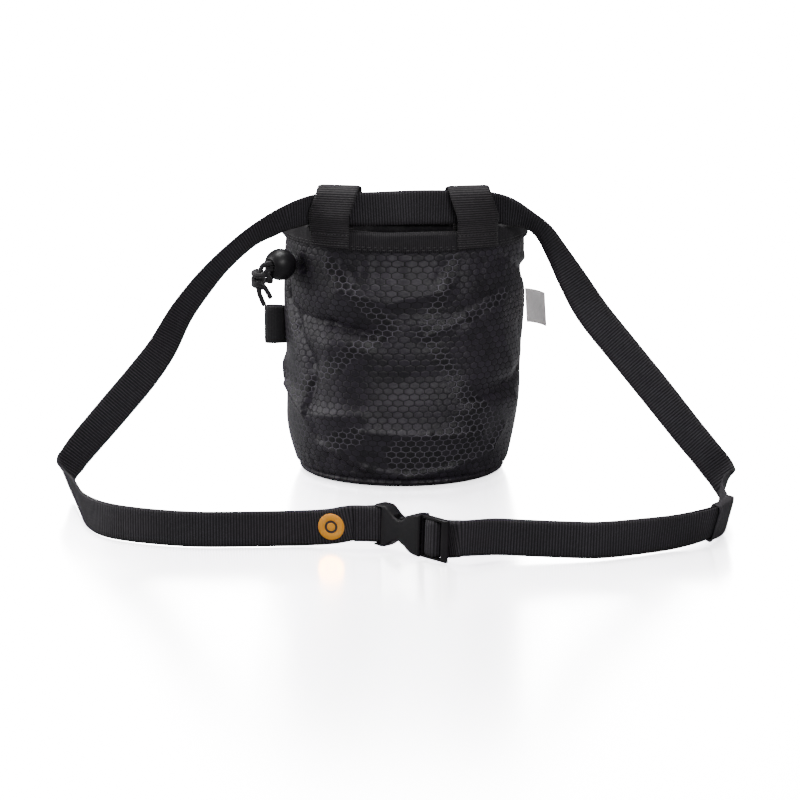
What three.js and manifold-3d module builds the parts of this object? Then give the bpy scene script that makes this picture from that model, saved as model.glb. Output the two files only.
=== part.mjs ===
// A climbing chalk bag: a soft round bag with a stiffened mouth, two webbing loops on the mouth,
// and a webbing waist belt that runs through the loops and closes in front with a side-release buckle.
// Millimetres. +X right, +Y away from the belt's buckle, +Z up, origin at the base's centre on the floor.
import * as THREE from "three";
import { mergeVertices } from "three/addons/utils/BufferGeometryUtils.js";
import Module from "manifold-3d";

const wasm = await Module();
wasm.setup();

// Driving sizes of the bag
const bagHeight = 149;
const baseRadius = 62;
const mouthHalfWidth = 71.5;
const mouthHalfDepth = 56;
const mouthShift = 3;
const rimRise = 4;
const wallThick = 2.4;
const baseThick = 2.4;
const foldDepth = 5;

// Driving sizes of the mouth's band and the belt loops
const rimBandHeight = 9.5;
const rimBandThick = 1.8;
const loopWidth = 25;
const loopThick = 1.6;
const loopRise = 25;
const loopLean = 5.5;
const loopOuterBulge = 2.9;
const loopInnerBulge = 1.2;
const leftLoopTurn = -0.194;
const rightLoopTurn = 0.183;

// Driving sizes of the belt
const beltWidth = 20;
const beltThick = 1.5;
const beltOverRim = 5;
const leftReach = 193.2;
const rightReach = 188.4;
const leftCornerForward = 91;
const rightCornerForward = 103;
const cornerLift = 2.1;
const frontForward = 250;
const keeperLength = 26;
const keeperThick = 0.8;
const markRadius = 7.4;
const markThick = 0.7;

// Driving sizes of the buckle
const buckleSlant = 43;
const buckleTilt = 2.6;
const buckleAcross = 13;
const buckleForward = 237;
const buckleRim = 2;
const railDeep = 2.8;
const plateLength = 27.8;
const socketThick = 9;
const panelThick = 1.8;
const plugLength = 18.6;
const plugThick = 4;
const barThick = 2;
const sewnBarWidth = 2.8;
const nearBarStart = 4.2;
const nearBarWidth = 4.2;
const gripWidth = 3.8;

// Driving sizes of the small side pieces
const brushLoopHeight = 22.8;
const brushLoopReach = 11.8;
const brushLoopGap = 4.8;
const brushLoopThick = 1.4;
const labelWidth = 12;
const labelHeight = 20.5;
const labelThick = 0.9;
const beadRadius = 9.5;
const beadHoleRadius = 3.5;
const cordRadius = 1.5;
const knotRadius = 2.7;

// Gap between touching pieces, and the gap between two layers of webbing
const clearance = 0.3;
const layerGap = 0.4;

const halfTurn = Math.PI;
const up = new THREE.Vector3(0, 0, 1);
const rimTop = bagHeight + clearance + rimBandThick;
const beltCentreHeight = rimTop + beltOverRim + beltWidth / 2;
const standing = beltWidth / 2;

const materials = {
  printedCloth: { color: 0x2b292f, roughness: 0.75, metalness: 0 },
  webbing: { color: 0x242226, roughness: 0.8, metalness: 0 },
  elastic: { color: 0x29272b, roughness: 0.85, metalness: 0 },
  moulded: { color: 0x2a282c, roughness: 0.5, metalness: 0 },
  cord: { color: 0x1e1c20, roughness: 0.9, metalness: 0 },
  whiteTape: { color: 0xe6e3e1, roughness: 0.6, metalness: 0 },
  orangeThread: { color: 0xf29a1d, roughness: 0.6, metalness: 0 },
};

const bag = new THREE.Group();

function addPiece(name, geometry, material, parent = bag) {
  const mesh = new THREE.Mesh(geometry, new THREE.MeshStandardMaterial(materials[material]));
  mesh.name = name;
  parent.add(mesh);
  return mesh;
}

// Reads a table at a share, with a smooth curve through its rows; the first column is the share
function readTable(rows, share) {
  let i = 0;
  while (i < rows.length - 2 && share > rows[i + 1][0]) i += 1;
  const before = rows[Math.max(i - 1, 0)];
  const from = rows[i];
  const to = rows[i + 1];
  const after = rows[Math.min(i + 2, rows.length - 1)];
  const span = to[0] - from[0];
  const t = THREE.MathUtils.clamp((share - from[0]) / span, 0, 1);
  return from.slice(1).map((value, k) => {
    const next = to[k + 1];
    const slopeFrom = ((next - before[k + 1]) / (to[0] - before[0])) * span;
    const slopeTo = ((after[k + 1] - value) / (after[0] - from[0])) * span;
    const ease = t * t * (3 - 2 * t);
    const bendFrom = t * (1 - t) * (1 - t) * slopeFrom;
    const bendTo = t * t * (t - 1) * slopeTo;
    return value + (next - value) * ease + bendFrom + bendTo;
  });
}

// Turns two equal grids of points into one closed slab with its faces pointing out
function slabGeometry(front, back) {
  const rows = front.length;
  const columns = front[0].length;
  const points = [...front.flat(), ...back.flat()];
  const at = (side, i, j) => side * rows * columns + i * columns + j;
  const faces = [];
  const quad = (a, b, c, d) => faces.push(a, b, c, a, c, d);
  for (let i = 0; i + 1 < rows; i += 1) {
    for (let j = 0; j + 1 < columns; j += 1) {
      quad(at(0, i, j), at(0, i + 1, j), at(0, i + 1, j + 1), at(0, i, j + 1));
      quad(at(1, i, j), at(1, i, j + 1), at(1, i + 1, j + 1), at(1, i + 1, j));
    }
    quad(at(0, i, 0), at(1, i, 0), at(1, i + 1, 0), at(0, i + 1, 0));
    quad(at(0, i + 1, columns - 1), at(1, i + 1, columns - 1), at(1, i, columns - 1), at(0, i, columns - 1));
  }
  for (let j = 0; j + 1 < columns; j += 1) {
    quad(at(0, 0, j + 1), at(1, 0, j + 1), at(1, 0, j), at(0, 0, j));
    quad(at(0, rows - 1, j), at(1, rows - 1, j), at(1, rows - 1, j + 1), at(0, rows - 1, j + 1));
  }
  return facedOut(points, faces);
}

// Turns a profile that closes on itself, carried round a closed path, into one ring
function ringGeometry(around, profile, pointAt) {
  const points = [];
  const faces = [];
  for (let i = 0; i < around; i += 1) {
    for (let j = 0; j < profile; j += 1) {
      points.push(pointAt(i, j));
      const nextRow = ((i + 1) % around) * profile;
      const row = i * profile;
      const next = (j + 1) % profile;
      faces.push(row + j, nextRow + j, nextRow + next, row + j, nextRow + next, row + next);
    }
  }
  return facedOut(points, faces);
}

// Builds the indexed geometry and turns the faces over where they enclose a negative volume
function facedOut(points, faces) {
  let volume = 0;
  for (let k = 0; k < faces.length; k += 3) {
    const [a, b, c] = [points[faces[k]], points[faces[k + 1]], points[faces[k + 2]]];
    volume += a.dot(new THREE.Vector3().crossVectors(b, c));
  }
  const order = volume < 0 ? faces.slice().reverse() : faces;
  const geometry = new THREE.BufferGeometry().setFromPoints(points);
  geometry.setIndex(order);
  geometry.computeVertexNormals();
  return geometry;
}

function toSolid(geometry) {
  const bare = geometry.clone();
  bare.deleteAttribute("normal");
  bare.deleteAttribute("uv");
  const merged = mergeVertices(bare, 1e-4);
  return new wasm.Manifold(new wasm.Mesh({
    numProp: 3,
    vertProperties: new Float32Array(merged.attributes.position.array),
    triVerts: new Uint32Array(merged.index.array),
  }));
}

function fromSolid(solid) {
  const mesh = solid.getMesh();
  const geometry = new THREE.BufferGeometry();
  geometry.setAttribute("position", new THREE.BufferAttribute(new Float32Array(mesh.vertProperties), 3));
  geometry.setIndex(new THREE.BufferAttribute(new Uint32Array(mesh.triVerts), 1));
  geometry.computeVertexNormals();
  return geometry;
}

function block(low, high) {
  const size = high.map((value, k) => value - low[k]);
  const box = new THREE.BoxGeometry(...size);
  return box.translate(low[0] + size[0] / 2, low[1] + size[1] / 2, low[2] + size[2] / 2);
}

// Sections of the wall: height share, mix from base to mouth, fullness, shift share, squareness
const wallSections = [
  [0.00, 0.00, 0.955, 0.30, 2.00],
  [0.01, 0.00, 0.990, 0.30, 2.00],
  [0.03, 0.02, 1.010, 0.35, 2.00],
  [0.07, 0.06, 1.035, 0.30, 2.00],
  [0.13, 0.13, 1.063, 0.20, 2.05],
  [0.20, 0.20, 1.082, 0.25, 2.05],
  [0.30, 0.32, 1.078, 0.60, 2.10],
  [0.50, 0.55, 1.058, 0.85, 2.15],
  [0.70, 0.78, 1.043, 0.85, 2.20],
  [0.84, 0.91, 1.010, 0.80, 2.25],
  [0.92, 1.00, 1.000, 1.00, 2.30],
  [1.00, 1.00, 1.000, 1.00, 2.30],
];

// Folds of the wall as ridges and dents between two places, each a turn share and a height share:
// from turn, from height, to turn, to height, rise as a share of the fold depth, spread as a share of the height
const wallFolds = [
  [-0.42, 0.78, -0.41, 0.70, -0.45, 0.040],
  [-0.41, 0.70, -0.28, 0.48, -0.45, 0.040],
  [-0.28, 0.48, -0.27, 0.30, -0.30, 0.045],
  [-0.50, 0.42, -0.31, 0.28, 0.40, 0.035],
  [-0.33, 0.66, -0.08, 0.61, -0.75, 0.050],
  [-0.20, 0.56, -0.10, 0.56, 0.45, 0.045],
  [-0.16, 0.77, 0.08, 0.79, 0.55, 0.055],
  [0.26, 0.75, 0.05, 0.60, -0.35, 0.045],
  [0.05, 0.63, 0.16, 0.64, 0.40, 0.045],
  [0.48, 0.42, 0.19, 0.35, -0.40, 0.040],
  [0.19, 0.31, 0.38, 0.29, 0.40, 0.050],
  [-0.27, 0.26, -0.10, 0.27, 0.35, 0.045],
  [-0.10, 0.22, 0.24, 0.20, 0.30, 0.035],
  [-0.02, 0.42, 0.10, 0.45, -0.35, 0.070],
  [0.28, 0.90, 0.52, 0.78, -0.40, 0.040],
  [0.34, 0.66, 0.44, 0.56, -0.30, 0.060],
  [-0.80, 0.62, -0.60, 0.52, -0.50, 0.060],
  [0.62, 0.50, 0.84, 0.60, -0.50, 0.060],
  [-0.98, 0.40, -0.76, 0.30, 0.40, 0.060],
  [0.66, 0.28, 0.90, 0.34, 0.35, 0.060],
  [0.86, 0.74, 1.08, 0.70, -0.45, 0.060],
];

// Distance out that the folds move the wall at a turn share and a height share
function foldRise(turn, height) {
  const radius = (baseRadius + mouthHalfWidth) / 2;
  const calm = THREE.MathUtils.smoothstep(height, 0.02, 0.12) * (1 - THREE.MathUtils.smoothstep(height, 0.84, 0.92));
  let rise = 0;
  for (const [fromTurn, fromHeight, toTurn, toHeight, share, spread] of wallFolds) {
    for (const lap of [-2, 0, 2]) {
      const place = new THREE.Vector3((turn + lap) * halfTurn * radius, height * bagHeight, 0);
      const from = new THREE.Vector3(fromTurn * halfTurn * radius, fromHeight * bagHeight, 0);
      const to = new THREE.Vector3(toTurn * halfTurn * radius, toHeight * bagHeight, 0);
      const nearest = new THREE.Line3(from, to).closestPointToPoint(place, true, new THREE.Vector3());
      const away = nearest.distanceTo(place) / (spread * bagHeight);
      rise += share * foldDepth * Math.exp(-away * away);
    }
  }
  return rise * calm;
}

// A place on the wall: turn as a share of half a turn from the near side, height share, distance out of the face
function wallPlace(turn, height, out) {
  const [mix, fullness, shift, square] = readTable(wallSections, height);
  const halfWidth = THREE.MathUtils.lerp(baseRadius, mouthHalfWidth, mix) * fullness;
  const halfDepth = THREE.MathUtils.lerp(baseRadius, mouthHalfDepth, mix) * fullness;
  const across = Math.sin(turn * halfTurn);
  const near = Math.cos(turn * halfTurn);
  const x = Math.sign(across) * Math.abs(across) ** (2 / square);
  const y = -Math.sign(near) * Math.abs(near) ** (2 / square);
  const normal = new THREE.Vector3(
    Math.sign(x) * Math.abs(x) ** (square - 1) / halfWidth,
    Math.sign(y) * Math.abs(y) ** (square - 1) / halfDepth,
    0,
  ).normalize();
  const z = height * (bagHeight + rimRise * across * across * height);
  const face = new THREE.Vector3(mouthShift * shift + halfWidth * x, halfDepth * y, z);
  return face.addScaledVector(normal, out + foldRise(turn, height));
}

const turnsAround = 60;
const wallHeights = [
  0, 0.012, 0.035, 0.07, 0.12, 0.18, 0.24, 0.3, 0.36, 0.42, 0.48, 0.54, 0.6, 0.66, 0.72, 0.78, 0.84, 0.9, 0.95, 1,
];
const turnOf = (i) => -1 + (2 * i) / turnsAround;

// The wall: one skin from the base's edge to the mouth
function wallGeometry() {
  const count = wallHeights.length;
  return ringGeometry(turnsAround, count * 2, (i, j) => {
    const outside = j < count;
    const height = wallHeights[outside ? j : count * 2 - 1 - j];
    return wallPlace(turnOf(i), height, outside ? 0 : -wallThick);
  });
}

// The round bottom panel, inside the wall's turned lower edge
function basePanelGeometry() {
  const outline = Array.from({ length: turnsAround }, (_, i) => wallPlace(turnOf(i), 0, -wallThick - clearance));
  const shape = new THREE.Shape(outline.map((p) => new THREE.Vector2(p.x, p.y)));
  return new THREE.ExtrudeGeometry(shape, { depth: baseThick, bevelEnabled: false });
}

// The stiffened band: ribbed tape folded over the wall's top edge
function rimBandGeometry() {
  const outer = clearance + rimBandThick;
  const drop = rimBandHeight / bagHeight;
  const crown = outer;
  // columns: height share below the top, rise above the top, distance out of the wall's face
  const section = [
    [drop, 0, outer],
    [drop / 2, 0, outer],
    [0, crown * 0.5, outer],
    [0, crown * 0.95, outer * 0.4],
    [0, crown, -wallThick / 2],
    [0, crown * 0.95, -wallThick - outer * 0.4],
    [0, crown * 0.5, -wallThick - outer],
    [drop, 0, -wallThick - outer],
    [drop, 0, -wallThick - clearance],
    [0, clearance, -wallThick - clearance],
    [0, clearance, clearance],
    [drop, 0, clearance],
  ];
  return ringGeometry(turnsAround, section.length, (i, j) => {
    const [below, rise, out] = section[j];
    return wallPlace(turnOf(i), 1 - below, out).addScaledVector(up, rise);
  });
}

const outerLeg = clearance * 2 + rimBandThick + loopThick / 2;
const innerLeg = -wallThick - outerLeg;
const clearOfRim = rimTop + rimRise / 2;

// A place on a belt loop: it follows the mouth's curve at the band, and turns and leans inward above it
function loopPlace(centreTurn, out, height, across) {
  const centre = wallPlace(centreTurn, 1, 0);
  const smallTurn = 0.01;
  const ahead = wallPlace(centreTurn + smallTurn, 1, 0).setZ(centre.z).sub(centre);
  const turn = centreTurn + (across * smallTurn) / ahead.length();
  const onWall = wallPlace(turn, 1, out).setZ(0);
  const topAlong = new THREE.Vector3(1, 0, 0).lerp(ahead.normalize(), 0.5).normalize();
  const topOut = new THREE.Vector3(topAlong.y, -topAlong.x, 0);
  const atTop = centre.clone().setZ(0).addScaledVector(topAlong, across).addScaledVector(topOut, out);
  atTop.x -= Math.sign(centreTurn) * loopLean;
  const share = THREE.MathUtils.smoothstep(height, clearOfRim, rimTop + loopRise);
  return onWall.lerp(atTop, share).setZ(height + rimRise * Math.sin(centreTurn * halfTurn) ** 2);
}

// A belt loop: wide webbing folded over, one leg outside the band, one inside
function beltLoopGeometry(centreTurn) {
  const outerSide = outerLeg + loopOuterBulge;
  const innerSide = innerLeg - loopInnerBulge;
  const middle = (outerSide + innerSide) / 2;
  const archRadius = (outerSide - innerSide) / 2;
  const low = bagHeight - rimBandHeight + 1;
  const archHeight = rimTop + loopRise - archRadius;
  // columns: distance out of the wall's face, height
  const path = [
    [outerLeg, low],
    [outerLeg, clearOfRim],
    [outerLeg + loopOuterBulge * 0.75, THREE.MathUtils.lerp(clearOfRim, archHeight, 0.3)],
    [outerSide, THREE.MathUtils.lerp(clearOfRim, archHeight, 0.7)],
  ];
  const archSteps = 6;
  for (let k = 0; k <= archSteps; k += 1) {
    const angle = (halfTurn * k) / archSteps;
    path.push([middle + archRadius * Math.cos(angle), archHeight + archRadius * Math.sin(angle)]);
  }
  path.push(
    [innerSide, THREE.MathUtils.lerp(clearOfRim, archHeight, 0.7)],
    [innerLeg - loopInnerBulge * 0.75, THREE.MathUtils.lerp(clearOfRim, archHeight, 0.3)],
    [innerLeg, clearOfRim],
    [innerLeg, low],
  );
  const columns = 6;
  const grid = (side) => path.map(([out, height], k) => {
    const before = path[Math.max(k - 1, 0)];
    const after = path[Math.min(k + 1, path.length - 1)];
    const run = new THREE.Vector2(after[0] - before[0], after[1] - before[1]).normalize();
    const offset = (side * loopThick) / 2;
    return Array.from({ length: columns + 1 }, (_, j) => {
      const across = loopWidth * (j / columns - 0.5);
      return loopPlace(centreTurn, out + run.y * offset, height - run.x * offset, across);
    });
  });
  return slabGeometry(grid(1), grid(-1));
}

// The buckle's own frame: u along the belt to the right, v up, w out of the front face
const slant = THREE.MathUtils.degToRad(buckleSlant);
const tilt = THREE.MathUtils.degToRad(buckleTilt);
const buckleTurn = new THREE.Euler(0, tilt, -slant, "ZYX");
const buckleHalfHeight = beltWidth / 2 + buckleRim;
const buckleFloor = buckleHalfHeight + plugLength * Math.sin(tilt) + 0.1;
const buckleCentre = new THREE.Vector3(buckleAcross, -buckleForward, buckleFloor);
const buckleAlong = new THREE.Vector3(1, 0, 0).applyEuler(buckleTurn);
const buckleOut = new THREE.Vector3(0, -1, 0).applyEuler(buckleTurn);
const buckleUp = new THREE.Vector3(0, 0, 1).applyEuler(buckleTurn);

function onBuckle(u, w) {
  return buckleCentre.clone().addScaledVector(buckleAlong, u).addScaledVector(buckleOut, w);
}

// Places in the buckle that the webbing passes
const sewnTurn = barThick / 2 + clearance + beltThick / 2 + 0.7;
const sewnBar = -plateLength - sewnTurn - beltThick / 2 - clearance * 1.5;
const farBar = plugLength - gripWidth;
const overBar = barThick / 2 + clearance + beltThick / 2 + 0.25;
const tailDepth = -plugThick * 0.35 - clearance - beltThick / 2 - 0.1;
const loadDepth = tailDepth - beltThick - layerGap;

// The belt's stations, in order along it: centre and the direction of its upper edge
const stations = [];
const markers = {};

function addStation(centre, edge = up) {
  stations.push({ centre, edge: edge.clone().normalize() });
  return stations.length - 1;
}

// Sewn end: from the free end in front, round the socket's bar, and back behind it
function addSewnEnd() {
  const layer = (beltThick + layerGap) / 2;
  const bar = onBuckle(sewnBar, 0);
  const place = (along, out) => addStation(bar.clone().add(new THREE.Vector3(along, -out, 0)), buckleUp);
  place(-beltWidth * 0.75, layer);
  place(-beltWidth * 0.45, layer);
  place(-beltWidth * 0.22, sewnTurn * 0.72);
  for (const degrees of [110, 80, 50, 20, -10, -40, -75, -110]) {
    const angle = THREE.MathUtils.degToRad(degrees);
    place(sewnTurn * Math.cos(angle), sewnTurn * Math.sin(angle));
  }
  place(-beltWidth * 0.22, -sewnTurn * 0.72);
  place(-beltWidth * 0.45, -layer);
  place(-beltWidth * 0.8, -layer);
}

// Left front stretch on the floor: across as a share of the left reach, forward as a share of the front,
// lift as a share of the belt's width, then the edge
const leftFloor = [
  [0.194, 0.845, 0.09, 0, 0, 1],
  [0.264, 0.836, 0.02, 0, 0, 1],
  [0.428, 0.842, 0, 0, 0, 1],
  [0.592, 0.842, 0, 0, 0, 1],
  [0.758, 0.799, 0, 0, 0, 1],
  [0.851, 0.747, 0, 0, 0, 1],
  [0.913, 0.660, 0, -0.10, 0, 1],
];
const leftMarkRow = 0;

// Left corner, from the floor to the strand: steps from the corner as shares of the belt's width, then the edge
const leftCorner = [
  [0.45, -2.05, -0.08, -0.16, 0.00, 0.99],
  [0.17, -0.90, -0.06, -0.31, 0.00, 0.95],
  [0.02, -0.30, -0.04, -0.36, -0.04, 0.93],
  [-0.06, 0.00, 0.09, -0.30, -0.18, 0.93],
  [-0.01, 0.17, 0.31, -0.36, -0.32, 0.87],
  [0.15, 0.24, 0.55, -0.47, -0.40, 0.79],
];

// Left strand, from the corner up to the loop: shares of the way in, back and up, then the edge
const leftStrand = [
  [0.053, 0.14, 0.111, -0.62, -0.38, 0.68],
  [0.181, 0.25, 0.247, -0.70, -0.30, 0.65],
  [0.308, 0.36, 0.383, -0.70, -0.32, 0.64],
  [0.394, 0.45, 0.489, -0.68, -0.48, 0.55],
  [0.475, 0.55, 0.622, -0.58, -0.66, 0.48],
  [0.561, 0.63, 0.728, -0.49, -0.72, 0.49],
  [0.649, 0.70, 0.818, -0.40, -0.78, 0.48],
  [0.776, 0.80, 0.917, -0.30, -0.78, 0.55],
  [0.859, 0.87, 0.959, -0.26, -0.68, 0.68],
  [0.934, 0.92, 0.991, -0.20, -0.60, 0.77],
];

// Right strand, from the loop down to the corner: shares of the way out, forward and down, then the edge
const rightStrand = [
  [0.050, 0.05, 0.011, 0.22, -0.55, 0.80],
  [0.130, 0.11, 0.040, 0.30, -0.80, 0.52],
  [0.193, 0.16, 0.084, 0.42, -0.80, 0.43],
  [0.254, 0.22, 0.164, 0.54, -0.71, 0.45],
  [0.324, 0.29, 0.265, 0.68, -0.48, 0.55],
  [0.405, 0.38, 0.374, 0.73, -0.22, 0.64],
  [0.553, 0.53, 0.527, 0.73, -0.22, 0.65],
  [0.694, 0.67, 0.670, 0.73, -0.22, 0.65],
  [0.835, 0.80, 0.817, 0.69, -0.28, 0.66],
  [0.920, 0.88, 0.902, 0.61, -0.30, 0.73],
];

// Right corner, from the strand to the floor: steps from the corner as shares of the belt's width, then the edge
const rightCorner = [
  [-0.11, 0.24, 0.22, 0.44, -0.22, 0.87],
  [0.00, 0.05, -0.02, 0.34, -0.06, 0.94],
  [-0.05, -0.30, -0.07, 0.24, -0.02, 0.97],
  [-0.16, -0.85, -0.07, 0.12, 0.00, 0.99],
  [-0.32, -1.85, -0.06, 0.10, -0.18, 0.98],
];

// Right front stretch on the floor, the loaded layer: across as a share of the right reach,
// forward as a share of the front, lift as a share of the belt's width, then the edge
const rightFloor = [
  [0.958, 0.718, 0.08, 0.17, -0.36, 0.92],
  [0.937, 0.772, 0.11, 0.17, -0.28, 0.95],
  [0.890, 0.826, 0.11, 0.18, -0.24, 0.95],
  [0.803, 0.868, 0.03, 0.14, -0.16, 0.98],
  [0.690, 0.917, 0.03, 0.06, -0.08, 1],
  [0.570, 0.955, 0.04, 0, 0, 1],
  [0.466, 0.962, 0.08, 0, 0, 1],
  [0.365, 0.962, 0.12, 0, 0, 1],
  [0.275, 0.964, 0.16, 0, 0, 1],
];

function addFloorStation([across, forward, lift, edgeX, edgeY, edgeZ], reach) {
  const centre = new THREE.Vector3(across * reach, -forward * frontForward, standing + lift * beltWidth);
  return addStation(centre, new THREE.Vector3(edgeX, edgeY, edgeZ));
}

function addCornerStation([x, y, z, edgeX, edgeY, edgeZ], corner) {
  const centre = corner.clone().add(new THREE.Vector3(x, y, z).multiplyScalar(beltWidth));
  return addStation(centre, new THREE.Vector3(edgeX, edgeY, edgeZ));
}

function addStrandStation([x, y, z, edgeX, edgeY, edgeZ], from, to) {
  const way = new THREE.Vector3(x, y, z).multiply(to.clone().sub(from));
  return addStation(from.clone().add(way), new THREE.Vector3(edgeX, edgeY, edgeZ));
}

// A place on the belt inside a loop, or beside it: across from the loop's middle as a share of the loop's width
function throughLoop(centreTurn, across, height, forward) {
  const place = loopPlace(centreTurn, -wallThick / 2, height, across * loopWidth).setZ(height);
  place.y -= forward;
  return place;
}

// The belt above the mouth, from the left loop's outer end to the right one's
function addMouthStations() {
  const [left, right] = [leftLoopTurn, rightLoopTurn];
  addStation(throughLoop(left, -0.56, beltCentreHeight - 2.9, 2.7), new THREE.Vector3(-0.12, -0.42, 0.89));
  addStation(throughLoop(left, 0, beltCentreHeight - 2.2, 1.9), new THREE.Vector3(0, -0.26, 0.96));
  addStation(throughLoop(left, 0.56, beltCentreHeight - 1.7, 0.8), new THREE.Vector3(0, -0.10, 0.99));
  addStation(throughLoop(left, 1.1, beltCentreHeight - 1.0, 0));
  addStation(wallPlace(0.02, 1, -wallThick / 2).setZ(beltCentreHeight));
  addStation(throughLoop(right, -0.56, beltCentreHeight - 0.5, 0));
  addStation(throughLoop(right, 0, beltCentreHeight - 1.3, 0.9), new THREE.Vector3(0, -0.16, 0.99));
  addStation(throughLoop(right, 0.56, beltCentreHeight - 2, 1.4), new THREE.Vector3(0.10, -0.34, 0.94));
}

// Threading through the plug: under both bars, up beside the socket, over the near bar, down and under the grip
function addThreading() {
  const place = (u, w, high = 0) => addStation(onBuckle(u, w).addScaledVector(buckleUp, high), buckleUp);
  const rise = nearBarStart - 1.85;
  const nearBarEnd = nearBarStart + nearBarWidth;
  place(plugLength + 5, loadDepth - 0.1, beltWidth * 0.12);
  place(farBar - 4, loadDepth);
  place(rise + 2.4, loadDepth + 0.15);
  place(rise + 0.55, loadDepth + 1.2);
  place(rise, loadDepth + 3.1);
  place(rise, overBar - 1.75);
  place(rise + 0.75, overBar - 0.45);
  place(nearBarStart + 0.5, overBar);
  place(nearBarEnd, overBar);
  place(nearBarEnd + 1.75, overBar - 1.05);
  place(farBar - 3.2, overBar - 2.9);
  place(farBar - 1.8, tailDepth + 0.5);
  place(farBar - 0.2, tailDepth);
  place(plugLength, tailDepth, beltWidth * 0.05);
  place(plugLength + 5, tailDepth - 0.1, beltWidth * 0.12);
}

const leftCornerPlace = new THREE.Vector3(-leftReach, -leftCornerForward, standing + cornerLift);
const rightCornerPlace = new THREE.Vector3(rightReach, -rightCornerForward, standing + cornerLift);

addSewnEnd();
leftFloor.forEach((row, k) => {
  const index = addFloorStation([-row[0], ...row.slice(1)], leftReach);
  if (k === leftMarkRow) markers.mark = index;
});
leftCorner.forEach((row) => addCornerStation(row, leftCornerPlace));
const leftExit = throughLoop(leftLoopTurn, -0.85, beltCentreHeight - 5.2, 9.2);
leftStrand.forEach((row) => addStrandStation(row, leftCornerPlace, leftExit));
addMouthStations();
const rightExit = throughLoop(rightLoopTurn, 0.8, beltCentreHeight - 2.5, 5.5);
rightStrand.forEach((row) => addStrandStation(row, rightExit, rightCornerPlace));
rightCorner.forEach((row) => addCornerStation(row, rightCornerPlace));
rightFloor.forEach((row, k) => {
  const index = addFloorStation(row, rightReach);
  if (k === 0) markers.keeper = index;
});
markers.thread = stations.length;
addThreading();

// Points along the belt between the stations, closer together where it turns or twists
const centreLine = new THREE.CatmullRomCurve3(stations.map((s) => s.centre), false, "centripetal");
const edgeLine = new THREE.CatmullRomCurve3(stations.map((s) => s.edge), false, "catmullrom");
const beltPoints = [];
const markedPoints = {};
const longestStep = 13;
const sharpestStep = THREE.MathUtils.degToRad(24);

function addBeltPoint(position) {
  const share = position / (stations.length - 1);
  beltPoints.push({ centre: centreLine.getPoint(share), edge: edgeLine.getPoint(share).normalize() });
}

for (let k = 0; k + 1 < stations.length; k += 1) {
  const way = stations[k].centre.distanceTo(stations[k + 1].centre);
  const from = centreLine.getTangent(k / (stations.length - 1));
  const to = centreLine.getTangent((k + 1) / (stations.length - 1));
  const twist = stations[k].edge.angleTo(stations[k + 1].edge);
  const steps = Math.max(1, Math.ceil(way / longestStep), Math.ceil((from.angleTo(to) + twist) / sharpestStep));
  for (const [name, index] of Object.entries(markers)) {
    if (index === k) markedPoints[name] = beltPoints.length;
  }
  if (k + 1 === stations.length - 1) markedPoints.exit = beltPoints.length;
  for (let i = 0; i < steps; i += 1) addBeltPoint(k + i / steps);
}
addBeltPoint(stations.length - 1);

// The tail: it runs in front of the loaded layer from the buckle to the middle of the keeper
const layerStep = beltThick + layerGap;

function sideOf(points, index) {
  const before = points[Math.max(index - 1, 0)].centre;
  const after = points[Math.min(index + 1, points.length - 1)].centre;
  const along = after.clone().sub(before).normalize();
  const edge = points[index].edge.clone().addScaledVector(along, -points[index].edge.dot(along)).normalize();
  return { along, edge, out: new THREE.Vector3().crossVectors(edge, along).normalize() };
}

const loadedPoints = beltPoints.slice();
const threadStart = markedPoints.thread;
for (let k = threadStart - 2; k >= markedPoints.keeper + 1; k -= 1) {
  const side = sideOf(loadedPoints, k);
  const centre = loadedPoints[k].centre.clone().addScaledVector(side.out, layerStep);
  beltPoints.push({ centre, edge: loadedPoints[k].edge.clone() });
}

function beltGeometry() {
  const grid = (face) => beltPoints.map((point, k) => {
    const side = sideOf(beltPoints, k);
    return [-1, 1].map((hand) => point.centre.clone()
      .addScaledVector(side.edge, (hand * beltWidth) / 2)
      .addScaledVector(side.out, (face * beltThick) / 2));
  });
  return slabGeometry(grid(1), grid(-1));
}

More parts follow.
